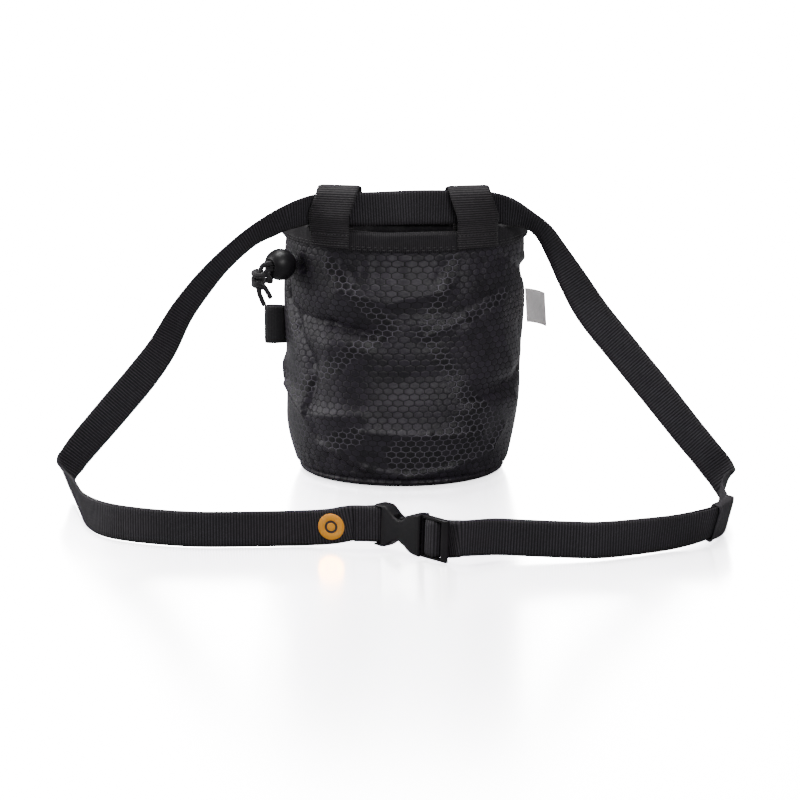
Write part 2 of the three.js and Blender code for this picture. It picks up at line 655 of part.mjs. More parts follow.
// The keeper: an elastic sleeve round the loaded layer and the tail's end
function keeperGeometry() {
  const halfHigh = beltWidth / 2 + clearance * 1.1;
  const halfDeep = layerStep / 2 + beltThick / 2 + clearance * 1.7;
  // columns: share of the half height, share of the half depth
  const section = [
    [-1, -0.85], [-0.96, -1], [0, -1], [0.96, -1], [1, -0.85], [1, 0.85], [0.96, 1], [0, 1], [-0.96, 1], [-1, 0.85],
  ];
  const places = [];
  const stepCount = 6;
  const start = markedPoints.keeper;
  let walked = 0;
  let k = start;
  const line = [loadedPoints[start].centre.clone()];
  const edges = [loadedPoints[start].edge.clone()];
  while (walked < keeperLength) {
    walked += loadedPoints[k].centre.distanceTo(loadedPoints[k + 1].centre);
    k += 1;
    line.push(loadedPoints[k].centre.clone());
    edges.push(loadedPoints[k].edge.clone());
  }
  const curve = new THREE.CatmullRomCurve3(line, false, "centripetal");
  const edgeCurve = new THREE.CatmullRomCurve3(edges, false, "centripetal");
  const reach = Math.min(1, keeperLength / curve.getLength());
  for (let i = 0; i <= stepCount; i += 1) {
    const share = (reach * i) / stepCount;
    const along = curve.getTangentAt(share);
    const out = new THREE.Vector3().crossVectors(edgeCurve.getPoint(curve.getUtoTmapping(share)), along).normalize();
    const edge = new THREE.Vector3().crossVectors(along, out);
    const flare = i === stepCount ? 1 : 0;
    places.push({ centre: curve.getPointAt(share).addScaledVector(out, layerStep / 2), out, edge, flare });
  }
  const count = places.length;
  return ringGeometry(section.length, count * 2, (i, j) => {
    const outside = j < count;
    const place = places[outside ? j : count * 2 - 1 - j];
    const grow = (outside ? keeperThick : 0) + place.flare * (section[i][1] > 0 ? 1.1 : 0);
    const deep = section[i][1] * (halfDeep + grow);
    const high = section[i][0] * (halfHigh + (outside ? keeperThick : 0));
    return place.centre.clone().addScaledVector(place.out, deep).addScaledVector(place.edge, high);
  });
}

// The round mark: a thin patch that follows the belt's outer face
function markGeometry() {
  const index = markedPoints.mark;
  const side = sideOf(beltPoints, index);
  const centre = beltPoints[index].centre;
  const patch = new THREE.CylinderGeometry(markRadius, markRadius, markThick, 24, 1);
  const across = side.along.clone().negate();
  const lift = beltThick / 2 + clearance * 1.8 + markThick / 2;
  const basis = new THREE.Matrix4().makeBasis(across, side.out, side.edge);
  if (basis.determinant() < 0) basis.makeBasis(side.along, side.out, side.edge);
  patch.applyMatrix4(basis);
  const place = centre.clone().addScaledVector(side.out, lift);
  return patch.translate(place.x, place.y, place.z);
}

// The socket: a flat body with a waist at each side, hollow from its mouth, and a bar for the webbing
function socketGeometry() {
  const end = sewnBar - sewnBarWidth / 2;
  // columns: share of the plate's length from the mouth, share of the half height
  const outline = [
    [end / plateLength, 0.96], [-1.00, 0.97], [-0.93, 0.95], [-0.84, 0.81], [-0.77, 0.68], [-0.69, 0.56],
    [-0.61, 0.49], [-0.53, 0.48], [-0.46, 0.54], [-0.39, 0.66], [-0.32, 0.79], [-0.24, 0.89], [-0.13, 0.95],
    [0, 0.98],
  ];
  const lower = outline.map(([u, v]) => new THREE.Vector2(u * plateLength, -v * buckleHalfHeight));
  const upper = lower.slice().reverse().map((p) => new THREE.Vector2(p.x, -p.y));
  const bevel = 0.6;
  const body = new THREE.ExtrudeGeometry(new THREE.Shape([...lower, ...upper]), {
    depth: socketThick - bevel * 2,
    bevelThickness: bevel,
    bevelSize: bevel,
    bevelOffset: -bevel,
    bevelSegments: 1,
  });
  body.translate(0, 0, -socketThick / 2 + bevel);
  const hollowHigh = buckleHalfHeight - railDeep;
  const hollowDeep = socketThick / 2 - panelThick;
  const hollow = block([-plateLength * 0.74, -hollowHigh, -hollowDeep], [1, hollowHigh, hollowDeep]);
  const slotHigh = beltWidth / 2 + clearance * 2;
  const slotStart = sewnBar + sewnBarWidth / 2;
  const slot = block([slotStart, -slotHigh, -socketThick], [-plateLength, slotHigh, socketThick]);
  const relief = barThick / 2;
  const frontCut = block([end - 1, -slotHigh, relief], [slotStart + 0.1, slotHigh, socketThick]);
  const backCut = block([end - 1, -slotHigh, -socketThick], [slotStart + 0.1, slotHigh, -relief]);
  let solid = toSolid(body);
  for (const cut of [hollow, slot, frontCut, backCut]) solid = solid.subtract(toSolid(cut));
  return fromSolid(solid);
}

// The plug: a frame with two bars for the webbing, a guide tongue and two springy arms with side pads
function plugGeometry() {
  const mouthGap = clearance;
  const low = -plugThick * 0.35;
  const high = plugThick * 0.65;
  const frameHigh = buckleHalfHeight * 0.96;
  const slotHigh = beltWidth / 2 + clearance * 1.5;
  const through = socketThick;
  const nearBarEnd = nearBarStart + nearBarWidth;
  const frame = block([mouthGap, -frameHigh, low], [plugLength, frameHigh, high]);
  const cuts = [
    block([1.2, -slotHigh, -through], [nearBarStart, slotHigh, through]),
    block([nearBarEnd, -slotHigh, -through], [farBar, slotHigh, through]),
    block([nearBarStart - 0.1, -slotHigh, barThick / 2], [nearBarEnd + 0.1, slotHigh, through]),
    block([nearBarStart - 0.1, -slotHigh, -through], [nearBarEnd + 0.1, slotHigh, -barThick / 2]),
    block([plugLength - gripWidth / 2, -through * 2, -through], [plugLength + 1, through * 2, high - barThick]),
  ];
  const hollowHigh = buckleHalfHeight - railDeep - clearance;
  const hollowDeep = socketThick / 2 - panelThick - clearance;
  const tongueHigh = hollowHigh * 0.16;
  const tongueDeep = hollowDeep * 0.6;
  const tongueEnd = -plateLength * 0.45;
  const tongue = block([tongueEnd, -tongueHigh, -tongueDeep], [mouthGap + 0.6, tongueHigh, tongueDeep]);
  // columns: share of the plate's length from the mouth, share of the hollow's half height
  const arm = [
    [0.01, 0.97], [-0.24, 0.97], [-0.42, 0.97], [-0.54, 0.84], [-0.62, 0.68], [-0.68, 0.48], [-0.66, 0.42],
    [-0.52, 0.55], [-0.36, 0.68], [-0.20, 0.72], [0.01, 0.72],
  ];
  const armShape = (hand) => {
    const points = arm.map(([u, v]) => new THREE.Vector2(u * plateLength + mouthGap, hand * v * hollowHigh));
    return new THREE.Shape(points);
  };
  let solid = toSolid(frame);
  for (const cut of cuts) solid = solid.subtract(toSolid(cut));
  solid = solid.add(toSolid(tongue));
  for (const hand of [-1, 1]) {
    const limb = new THREE.ExtrudeGeometry(armShape(hand), { depth: hollowDeep * 2, bevelEnabled: false });
    limb.translate(0, 0, -hollowDeep);
    solid = solid.add(toSolid(limb));
  }
  return fromSolid(solid);
}

function placeBuckleHalf(name, geometry) {
  const half = addPiece(name, geometry.rotateX(halfTurn / 2), "moulded");
  half.rotation.copy(buckleTurn);
  half.position.copy(buckleCentre);
}

// Where a side piece is sewn in: a place on the wall with its outward and level directions
function seamPlace(turn, height, out) {
  const place = wallPlace(turn, height, out);
  const outward = wallPlace(turn, height, out + 1).sub(place).setZ(0).normalize();
  const level = new THREE.Vector3(-outward.y, outward.x, 0);
  return { place, outward, level };
}

// The brush loop: short elastic folded in half, both ends sewn into the left side seam
function brushLoopGeometry() {
  const { place, outward, level } = seamPlace(-0.5, 0.576, clearance * 1.7 + brushLoopThick / 2);
  const half = (brushLoopGap + brushLoopThick) / 2;
  const reach = brushLoopReach - brushLoopThick / 2 - clearance;
  // columns: way out as a share of the reach, way to the side as a share of half the gap
  const plan = [
    [0.00, 0.32], [0.16, 0.72], [0.40, 1.00], [0.70, 1.00], [0.90, 0.72], [0.985, 0.30],
  ];
  const line = [...plan, ...plan.slice().reverse().map(([o, s]) => [o, -s])].map(([o, s]) => place.clone()
    .addScaledVector(outward, o * reach)
    .addScaledVector(level, s * half));
  const grid = (side) => line.map((point, k) => {
    const along = line[Math.min(k + 1, line.length - 1)].clone().sub(line[Math.max(k - 1, 0)]).normalize();
    const out = new THREE.Vector3().crossVectors(up, along);
    return [-0.5, 0.5].map((hand) => point.clone()
      .addScaledVector(up, hand * brushLoopHeight)
      .addScaledVector(out, (side * brushLoopThick) / 2));
  });
  return slabGeometry(grid(1), grid(-1));
}

// The side label: a small folded tab in the right side seam, drooping a little
function labelGeometry() {
  const { place, outward, level } = seamPlace(0.47, 0.659, clearance * 3.4);
  const droop = 0.2;
  const tilt = 0.06;
  const shares = [0, 0.35, 0.7, 1];
  const grid = (side) => shares.map((share) => [-0.5, 0.5].map((hand) => place.clone()
    .addScaledVector(outward, share * labelWidth - hand * tilt * labelHeight)
    .addScaledVector(level, side * (labelThick / 2) - 1.6 * share * share)
    .addScaledVector(up, hand * labelHeight - droop * share * share * labelWidth)));
  return slabGeometry(grid(1), grid(-1));
}

// The cord lock's place: the bead sits against the wall below the mouth's band on the left
const beadDirection = new THREE.Vector3(-0.72, -0.69, -0.02).normalize();
const cordExit = wallPlace(-0.36, 0.85, clearance * 3.5);
const beadCentre = cordExit.clone().addScaledVector(beadDirection, beadRadius * 1.02);
const strandStep = new THREE.Vector3(0, 0, cordRadius + clearance * 0.8);

function beadGeometry() {
  const flat = Math.sqrt(beadRadius ** 2 - (beadHoleRadius + 1) ** 2);
  const profile = [new THREE.Vector2(beadHoleRadius, -flat)];
  const steps = 10;
  const start = Math.asin(-flat / beadRadius);
  for (let k = 0; k <= steps; k += 1) {
    const angle = start + (-2 * start * k) / steps;
    profile.push(new THREE.Vector2(beadRadius * Math.cos(angle), beadRadius * Math.sin(angle)));
  }
  profile.push(new THREE.Vector2(beadHoleRadius, flat), new THREE.Vector2(beadHoleRadius, -flat));
  const bead = new THREE.LatheGeometry(profile, 24);
  const aim = new THREE.Quaternion().setFromUnitVectors(new THREE.Vector3(0, 1, 0), beadDirection);
  return bead.applyQuaternion(aim).translate(beadCentre.x, beadCentre.y, beadCentre.z);
}

// The drawcord: two strands from the wall through the bead to the knot, and the two ends below the knot
const knotCentre = beadCentre.clone().add(new THREE.Vector3(-1.347, -0.8, -0.821).multiplyScalar(beadRadius));
const cordRoutes = {
  drawcord_upper: [
    cordExit.clone().add(strandStep),
    beadCentre.clone().add(strandStep),
    beadCentre.clone().addScaledVector(beadDirection, beadRadius * 0.6).add(strandStep),
    beadCentre.clone().addScaledVector(beadDirection, beadRadius * 1.15).add(strandStep),
    knotCentre.clone().add(new THREE.Vector3(2, 1, 7.2)),
  ],
  drawcord_lower: [
    cordExit.clone().sub(strandStep),
    beadCentre.clone().sub(strandStep),
    beadCentre.clone().addScaledVector(beadDirection, beadRadius * 0.6).sub(strandStep),
    beadCentre.clone().addScaledVector(beadDirection, beadRadius * 1.12).addScaledVector(strandStep, -1.2),
    beadCentre.clone().add(new THREE.Vector3(-7.7, -6.2, -5.6)),
    knotCentre.clone().add(new THREE.Vector3(7.4, 4.4, -1.6)),
  ],
  cord_end_long: [
    knotCentre.clone().add(new THREE.Vector3(0.4, -0.4, -7.1)),
    knotCentre.clone().add(new THREE.Vector3(1.8, 0.2, -11.6)),
    knotCentre.clone().add(new THREE.Vector3(3.4, 1, -15.6)),
  ],
  cord_end_short: [
    knotCentre.clone().add(new THREE.Vector3(4.9, -0.6, -5.6)),
    knotCentre.clone().add(new THREE.Vector3(6.0, -0.2, -8.4)),
    knotCentre.clone().add(new THREE.Vector3(7.2, 0.4, -11.2)),
  ],
};

function cordGeometry(route) {
  const sides = 8;
  const section = new THREE.Shape(Array.from({ length: sides }, (_, k) => {
    const angle = (2 * halfTurn * k) / sides;
    return new THREE.Vector2(cordRadius * Math.cos(angle), cordRadius * Math.sin(angle));
  }));
  const path = new THREE.CatmullRomCurve3(route);
  return new THREE.ExtrudeGeometry(section, { steps: 6, extrudePath: path, bevelEnabled: false });
}

// The overhand knot: turns of cord drawn tight round a core
function knotGeometry() {
  const core = new THREE.SphereGeometry(knotRadius * 1.3, 10, 8).scale(1, 1, 1.65);
  let solid = toSolid(core);
  const turns = [
    [0.35, 0.15, 3.5],
    [1.2, 0.5, 0],
    [-0.45, 0.3, -3.5],
  ];
  for (const [tipX, tipY, rise] of turns) {
    const turn = new THREE.TorusGeometry(knotRadius, cordRadius * 1.1, 7, 14);
    turn.rotateX(tipX).rotateY(tipY).translate(0, 0, rise);
    solid = solid.add(toSolid(turn));
  }
  return fromSolid(solid).translate(knotCentre.x, knotCentre.y, knotCentre.z);
}

addPiece("shell", wallGeometry(), "printedCloth");
addPiece("base_panel", basePanelGeometry(), "printedCloth");
addPiece("rim_band", rimBandGeometry(), "webbing");
addPiece("belt_loop_left", beltLoopGeometry(leftLoopTurn), "webbing");
addPiece("belt_loop_right", beltLoopGeometry(rightLoopTurn), "webbing");
addPiece("waist_belt", beltGeometry(), "webbing");
addPiece("belt_keeper", keeperGeometry(), "elastic");
addPiece("belt_mark", markGeometry(), "orangeThread");
placeBuckleHalf("buckle_socket", socketGeometry());
placeBuckleHalf("buckle_plug", plugGeometry());
addPiece("brush_loop", brushLoopGeometry(), "elastic");
addPiece("side_label", labelGeometry(), "whiteTape");
addPiece("cord_lock_bead", beadGeometry(), "moulded");
addPiece("cord_knot", knotGeometry(), "cord");
for (const [name, route] of Object.entries(cordRoutes)) addPiece(name, cordGeometry(route), "cord");

export default bag;
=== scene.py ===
import math

import bmesh
import bpy
import numpy as np
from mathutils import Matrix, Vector


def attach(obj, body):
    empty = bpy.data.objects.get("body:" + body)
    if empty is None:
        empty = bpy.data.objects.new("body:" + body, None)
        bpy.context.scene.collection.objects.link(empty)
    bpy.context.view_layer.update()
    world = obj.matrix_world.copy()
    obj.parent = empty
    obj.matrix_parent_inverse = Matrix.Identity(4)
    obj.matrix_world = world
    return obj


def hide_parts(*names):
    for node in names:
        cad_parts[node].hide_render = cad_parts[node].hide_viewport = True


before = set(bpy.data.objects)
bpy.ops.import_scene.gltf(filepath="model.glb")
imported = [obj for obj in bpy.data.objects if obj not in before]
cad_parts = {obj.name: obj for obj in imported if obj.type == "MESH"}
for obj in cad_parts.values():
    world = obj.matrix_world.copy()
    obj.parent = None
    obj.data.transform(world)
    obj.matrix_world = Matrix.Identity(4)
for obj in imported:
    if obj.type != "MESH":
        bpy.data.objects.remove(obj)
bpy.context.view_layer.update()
scene = bpy.context.scene

# The studio. A pale, slightly glossy table runs on behind the bag, under broad soft lamps,
# and the camera looks a little down on the bag from the side where the belt closes.
camera = bpy.data.objects.new("studio_camera", bpy.data.cameras.new("studio_camera"))
camera.data.lens = 163.6
camera.data.sensor_width = 36
camera.data.clip_end = 50
camera.location = (0, -2.1573, 0.4714)
camera.rotation_euler = (math.radians(78.7), 0, 0)
scene.collection.objects.link(camera)
scene.camera = camera

world = bpy.data.worlds.new("studio")
world.use_nodes = True
world.node_tree.nodes["Background"].inputs["Color"].default_value = (1, 1, 1, 1)
world.node_tree.nodes["Background"].inputs["Strength"].default_value = 0.18
scene.world = world


def add_lamp(name, place, aim, wide, high, power):
    lamp = bpy.data.lights.new(name, "AREA")
    lamp.shape = "RECTANGLE"
    lamp.size = wide
    lamp.size_y = high
    lamp.energy = power
    holder = bpy.data.objects.new(name, lamp)
    holder.location = place
    holder.rotation_euler = (Vector(aim) - Vector(place)).to_track_quat("-Z", "Y").to_euler()
    scene.collection.objects.link(holder)


add_lamp("lamp_above", (-0.15, 0.05, 1.4), (0, -0.05, 0.08), 0.8, 0.6, 22)
add_lamp("lamp_left", (-1.3, 0.0, 0.6), (0, 0, 0.1), 0.5, 0.9, 14)
add_lamp("lamp_front", (0.5, -1.8, 1.1), (0, -0.1, 0.08), 0.8, 0.6, 22)


def put(tree, kind, values=None, **settings):
    """Adds a shader node, with its settings and with a number or a link for each named input."""
    node = tree.nodes.new(kind)
    for key, value in settings.items():
        setattr(node, key, value)
    for key, value in (values or {}).items():
        if isinstance(value, bpy.types.NodeSocket):
            tree.links.new(value, node.inputs[key])
        else:
            node.inputs[key].default_value = value
    return node


def add_floor():
    mesh = bpy.data.meshes.new("table_top")
    mesh.from_pydata([(-9, -4, 0), (9, -4, 0), (9, 14, 0), (-9, 14, 0)], [], [(0, 1, 2, 3)])
    table = bpy.data.objects.new("table_top", mesh)
    table.location.z = -0.0003
    material = bpy.data.materials.new("pale_table")
    material.use_nodes = True
    tree = material.node_tree
    tree.nodes.clear()
    paint = put(tree, "ShaderNodeBsdfDiffuse", {"Color": (0.30, 0.30, 0.31, 1)})
    shine = put(tree, "ShaderNodeBsdfGlossy", {"Color": (44, 44, 44, 1), "Roughness": 0.19})
    glow = put(tree, "ShaderNodeEmission", {"Color": (0.98, 0.98, 1, 1), "Strength": 2.2})
    bright = put(tree, "ShaderNodeAddShader", {0: shine.outputs[0], 1: glow.outputs[0]})
    seen = put(tree, "ShaderNodeLightPath").outputs["Is Camera Ray"]
    both = put(tree, "ShaderNodeMixShader", {0: seen, 1: paint.outputs[0], 2: bright.outputs[0]})
    put(tree, "ShaderNodeOutputMaterial", {"Surface": both.outputs[0]})
    mesh.materials.append(material)
    scene.collection.objects.link(table)


add_floor()

# The wall. One skin of tightly woven cloth, printed with small six-sided cells, is sewn to a round
# base and gathered into a stiff band at the mouth; use has left it with soft dents and creases.
BAG_HEIGHT = 149.0
BASE_RADIUS = 62.0
MOUTH_HALF_WIDTH = 71.5
MOUTH_HALF_DEPTH = 56.0
MOUTH_SHIFT = 3.0
RIM_RISE = 4.0
WALL_THICK = 2.4
FOLD_DEPTH = 5.0
MEAN_RADIUS = (BASE_RADIUS + MOUTH_HALF_WIDTH) / 2
CELL_WIDTH = 5.26
CELL_ROW_HEIGHT = 3.4
WALL_AROUND = 420
OUTER_ROWS = 140
INNER_ROWS = 30
MM = 0.001

# height share, mix from base to mouth, fullness, shift share, squareness
WALL_SECTIONS = [
    [0.00, 0.00, 0.955, 0.30, 2.00],
    [0.01, 0.00, 0.990, 0.30, 2.00],
    [0.03, 0.02, 1.010, 0.35, 2.00],
    [0.07, 0.06, 1.035, 0.30, 2.00],
    [0.13, 0.13, 1.063, 0.20, 2.05],
    [0.20, 0.20, 1.082, 0.25, 2.05],
    [0.30, 0.32, 1.078, 0.60, 2.10],
    [0.50, 0.55, 1.058, 0.85, 2.15],
    [0.70, 0.78, 1.043, 0.85, 2.20],
    [0.84, 0.91, 1.010, 0.80, 2.25],
    [0.92, 1.00, 1.000, 1.00, 2.30],
    [1.00, 1.00, 1.000, 1.00, 2.30],
]

# from turn, from height, to turn, to height, rise as a share of the fold depth, spread
WALL_FOLDS = [
    [-0.42, 0.78, -0.41, 0.70, -0.45, 0.040],
    [-0.41, 0.70, -0.28, 0.48, -0.45, 0.040],
    [-0.28, 0.48, -0.27, 0.30, -0.30, 0.045],
    [-0.50, 0.42, -0.31, 0.28, 0.40, 0.035],
    [-0.33, 0.66, -0.08, 0.61, -0.75, 0.050],
    [-0.20, 0.56, -0.10, 0.56, 0.45, 0.045],
    [-0.16, 0.77, 0.08, 0.79, 0.55, 0.055],
    [0.26, 0.75, 0.05, 0.60, -0.35, 0.045],
    [0.05, 0.63, 0.16, 0.64, 0.40, 0.045],
    [0.48, 0.42, 0.19, 0.35, -0.40, 0.040],
    [0.19, 0.31, 0.38, 0.29, 0.40, 0.050],
    [-0.27, 0.26, -0.10, 0.27, 0.35, 0.045],
    [-0.10, 0.22, 0.24, 0.20, 0.30, 0.035],
    [-0.02, 0.42, 0.10, 0.45, -0.35, 0.070],
    [0.28, 0.90, 0.52, 0.78, -0.40, 0.040],
    [0.34, 0.66, 0.44, 0.56, -0.30, 0.060],
    [-0.80, 0.62, -0.60, 0.52, -0.50, 0.060],
    [0.62, 0.50, 0.84, 0.60, -0.50, 0.060],
    [-0.98, 0.40, -0.76, 0.30, 0.40, 0.060],
    [0.66, 0.28, 0.90, 0.34, 0.35, 0.060],
    [0.86, 0.74, 1.08, 0.70, -0.45, 0.060],
]

# The finer creases and bulges in the same columns, but with the rise as a share of the fine depth
FINE_DEPTH = 1.7
FINE_FOLDS = [
    [-0.415, 0.80, -0.415, 0.71, -1.0, 0.020],
    [-0.415, 0.71, -0.35, 0.60, -1.2, 0.018],
    [-0.35, 0.60, -0.30, 0.52, -0.6, 0.018],
    [-0.28, 0.46, -0.27, 0.40, -0.4, 0.022],
    [-0.27, 0.40, -0.295, 0.29, -1.0, 0.020],
    [-0.295, 0.29, -0.25, 0.17, -1.0, 0.020],
    [-0.36, 0.70, -0.25, 0.66, 0.8, 0.022],
    [-0.325, 0.655, -0.20, 0.640, -0.9, 0.016],
    [-0.20, 0.640, -0.075, 0.605, -0.9, 0.014],
    [-0.525, 0.44, -0.42, 0.36, 0.4, 0.022],
    [-0.42, 0.36, -0.31, 0.27, 0.9, 0.014],
    [-0.165, 0.775, -0.035, 0.735, 0.7, 0.022],
    [-0.035, 0.735, 0.09, 0.785, 0.7, 0.022],
    [0.245, 0.735, 0.15, 0.675, 0.9, 0.014],
    [0.15, 0.675, 0.045, 0.60, 0.8, 0.014],
    [0.49, 0.41, 0.34, 0.375, -1.0, 0.016],
    [0.34, 0.375, 0.19, 0.35, -0.9, 0.016],
    [0.19, 0.34, 0.38, 0.315, 0.8, 0.020],
    [-0.28, 0.275, -0.105, 0.29, 0.8, 0.022],
    [-0.10, 0.225, 0.07, 0.215, 0.8, 0.012],
    [0.07, 0.215, 0.235, 0.205, 0.7, 0.012],
    [-0.25, 0.16, -0.11, 0.075, 0.8, 0.016],
    [-0.11, 0.075, 0.02, 0.045, 0.8, 0.014],
    [0.02, 0.045, 0.145, 0.07, 0.8, 0.014],
    [0.145, 0.07, 0.295, 0.13, 0.8, 0.016],
    [0.295, 0.13, 0.34, 0.21, 0.7, 0.018],
    [-0.22, 0.12, -0.10, 0.045, -0.8, 0.018],
    [0.32, 0.86, 0.50, 0.84, 1.0, 0.022],
    [0.28, 0.89, 0.40, 0.83, -1.0, 0.014],
    [0.40, 0.83, 0.54, 0.78, -1.0, 0.014],
    [-0.40, 0.90, -0.30, 0.84, -0.8, 0.016],
    [-0.48, 0.86, -0.40, 0.81, 0.9, 0.016],
    [-0.16, 0.90, -0.12, 0.83, -0.5, 0.012],
    [0.10, 0.90, 0.07, 0.83, -0.5, 0.012],
    [0.42, 0.60, 0.50, 0.50, -0.8, 0.022],
    [0.30, 0.56, 0.36, 0.44, 0.6, 0.030],
    [-0.66, 0.84, -0.58, 0.70, -1.0, 0.020],
    [-0.58, 0.34, -0.70, 0.20, -1.0, 0.022],
    [0.60, 0.84, 0.66, 0.70, -1.0, 0.020],
    [0.58, 0.30, 0.72, 0.16, -1.0, 0.022],
    [-0.90, 0.85, -0.82, 0.74, -0.9, 0.018],
    [0.78, 0.86, 0.84, 0.76, -0.9, 0.018],
    [-0.86, 0.20, -0.70, 0.12, 0.8, 0.020],
    [0.76, 0.18, 0.92, 0.12, 0.8, 0.020],
    [-0.94, 0.54, -0.80, 0.48, -0.9, 0.018],
    [0.88, 0.46, 1.02, 0.52, 0.8, 0.022],
]


def read_table(rows, share):
    """Reads a table at a share, with a smooth curve through its rows."""
    i = 0
    while i < len(rows) - 2 and share > rows[i + 1][0]:
        i += 1
    before, start, end = rows[max(i - 1, 0)], rows[i], rows[i + 1]
    after = rows[min(i + 2, len(rows) - 1)]
    span = end[0] - start[0]
    t = min(max((share - start[0]) / span, 0), 1)
    ease = t * t * (3 - 2 * t)
    found = []
    for k in range(1, len(start)):
        slope_start = (end[k] - before[k]) / (end[0] - before[0]) * span
        slope_end = (after[k] - start[k]) / (after[0] - start[0]) * span
        bend = t * (1 - t) * (1 - t) * slope_start + t * t * (t - 1) * slope_end
        found.append(start[k] + (end[k] - start[k]) * ease + bend)
    return found


def smooth_step(value, low, high):
    t = np.clip((value - low) / (high - low), 0, 1)
    return t * t * (3 - 2 * t)


def line_distance(turns, height, row):
    """Distance on the unrolled wall, in millimetres, from places to a line between two places."""
    best = np.full(np.shape(turns), 1e9)
    for lap in (-2, 0, 2):
        x = (turns + lap) * math.pi * MEAN_RADIUS
        start = np.array([row[0] * math.pi * MEAN_RADIUS, row[1] * BAG_HEIGHT])
        step = np.array([row[2] * math.pi * MEAN_RADIUS, row[3] * BAG_HEIGHT]) - start
        share = ((x - start[0]) * step[0] + (height * BAG_HEIGHT - start[1]) * step[1]) / (step @ step)
        share = np.clip(share, 0, 1)
        away = np.hypot(x - start[0] - share * step[0], height * BAG_HEIGHT - start[1] - share * step[1])
        best = np.minimum(best, away)
    return best


def fold_rise(turns, height, fine=False):
    rise = np.zeros(np.shape(turns))
    for row in WALL_FOLDS:
        away = line_distance(turns, height, row) / (row[5] * BAG_HEIGHT)
        rise += row[4] * FOLD_DEPTH * np.exp(-away * away)
    calm = smooth_step(height, 0.02, 0.12) * (1 - smooth_step(height, 0.84, 0.92))
    rise = rise * calm
    if fine:
        small = np.zeros(np.shape(turns))
        for row in FINE_FOLDS:
            away = line_distance(turns, height, row) / (row[5] * BAG_HEIGHT)
            small += row[4] * np.exp(-np.abs(away) ** 1.6)
        x = turns * math.pi
        pucker = np.sin(x * 37 + 2 * np.sin(x * 5)) * 0.30 + np.sin(x * 61 + 3 * np.sin(x * 3)) * 0.18
        high_calm = 1 - smooth_step(height, 0.885, 0.925)
        small += pucker * smooth_step(height, 0.74, 0.90) * 0.5
        small += pucker * (1 - smooth_step(height, 0.03, 0.16)) * 0.45
        small -= 1.0 * np.exp(-((height - 0.026) / 0.008) ** 2)
        rise = rise + FINE_DEPTH * small * smooth_step(height, 0.004, 0.02) * high_calm
    return rise


def wall_points(turns, height, out, fine=False):
    """Places on the wall, in millimetres, for many turns at one height share."""
    turns = np.asarray(turns, float)
    mix, fullness, shift, square = read_table(WALL_SECTIONS, height)
    half_width = (BASE_RADIUS + (MOUTH_HALF_WIDTH - BASE_RADIUS) * mix) * fullness
    half_depth = (BASE_RADIUS + (MOUTH_HALF_DEPTH - BASE_RADIUS) * mix) * fullness
    across, near = np.sin(turns * math.pi), np.cos(turns * math.pi)
    x = np.sign(across) * np.abs(across) ** (2 / square)
    y = -np.sign(near) * np.abs(near) ** (2 / square)
    normal_x = np.sign(x) * np.abs(x) ** (square - 1) / half_width
    normal_y = np.sign(y) * np.abs(y) ** (square - 1) / half_depth
    size = np.hypot(normal_x, normal_y)
    z = height * (BAG_HEIGHT + RIM_RISE * across * across * height)
    push = out + fold_rise(turns, height, fine)
    return np.stack([
        MOUTH_SHIFT * shift + half_width * x + normal_x / size * push,
        half_depth * y + normal_y / size * push,
        z * np.ones_like(x),
    ], -1)


def add_mesh(name, points, faces, smooth=True):
    """Makes a mesh object from points in millimetres."""
    mesh = bpy.data.meshes.new(name)
    mesh.from_pydata((np.asarray(points) * MM).tolist(), [], faces)
    mesh.update()
    if smooth:
        mesh.polygons.foreach_set("use_smooth", [True] * len(mesh.polygons))
    piece = bpy.data.objects.new(name, mesh)
    scene.collection.objects.link(piece)
    return piece


def face_out(piece):
    """Turns the faces of a closed mesh outward."""
    work = bmesh.new()
    work.from_mesh(piece.data)
    bmesh.ops.recalc_face_normals(work, faces=work.faces)
    if work.calc_volume(signed=True) < 0:
        bmesh.ops.reverse_faces(work, faces=work.faces)
    work.to_mesh(piece.data)
    work.free()


def set_weave_map(piece, values):
    """Gives each corner its vertex's place on the cloth, in millimetres along and across."""
    layer = piece.data.uv_layers.new(name="weave")
    corners = np.zeros(len(piece.data.loops), np.int32)
    piece.data.loops.foreach_get("vertex_index", corners)
    layer.data.foreach_set("uv", np.asarray(values, np.float32)[corners].ravel())


def set_shade(piece, name, values):
    shades = piece.data.attributes.new(name, "FLOAT", "POINT")
    shades.data.foreach_set("value", np.asarray(values, np.float32))


def finish_piece(piece, material, slot, *nodes):
    piece.data.materials.append(material)
    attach(piece, "root")
    if nodes:
        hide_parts(*nodes)


def ring_faces(around, profile):
    faces = []
    for i in range(around):
        row, ahead = i * profile, (i + 1) % around * profile
        for j in range(profile):
            k = (j + 1) % profile
            faces.append((row + j, ahead + j, ahead + k, row + k))
    return faces


def calc(tree, operation, *values):
    return put(tree, "ShaderNodeMath", dict(enumerate(values)), operation=operation).outputs[0]


def vector_calc(tree, operation, *values):
    return put(tree, "ShaderNodeVectorMath", dict(enumerate(values)), operation=operation)


def blend_colour(tree, share, first, second):
    values = {0: share, 6: first, 7: second}
    return put(tree, "ShaderNodeMix", values, data_type="RGBA").outputs[2]


def remap(tree, value, low, high, to_low=0.0, to_high=1.0):
    values = {0: value, 1: low, 2: high, 3: to_low, 4: to_high}
    return put(tree, "ShaderNodeMapRange", values).outputs[0]


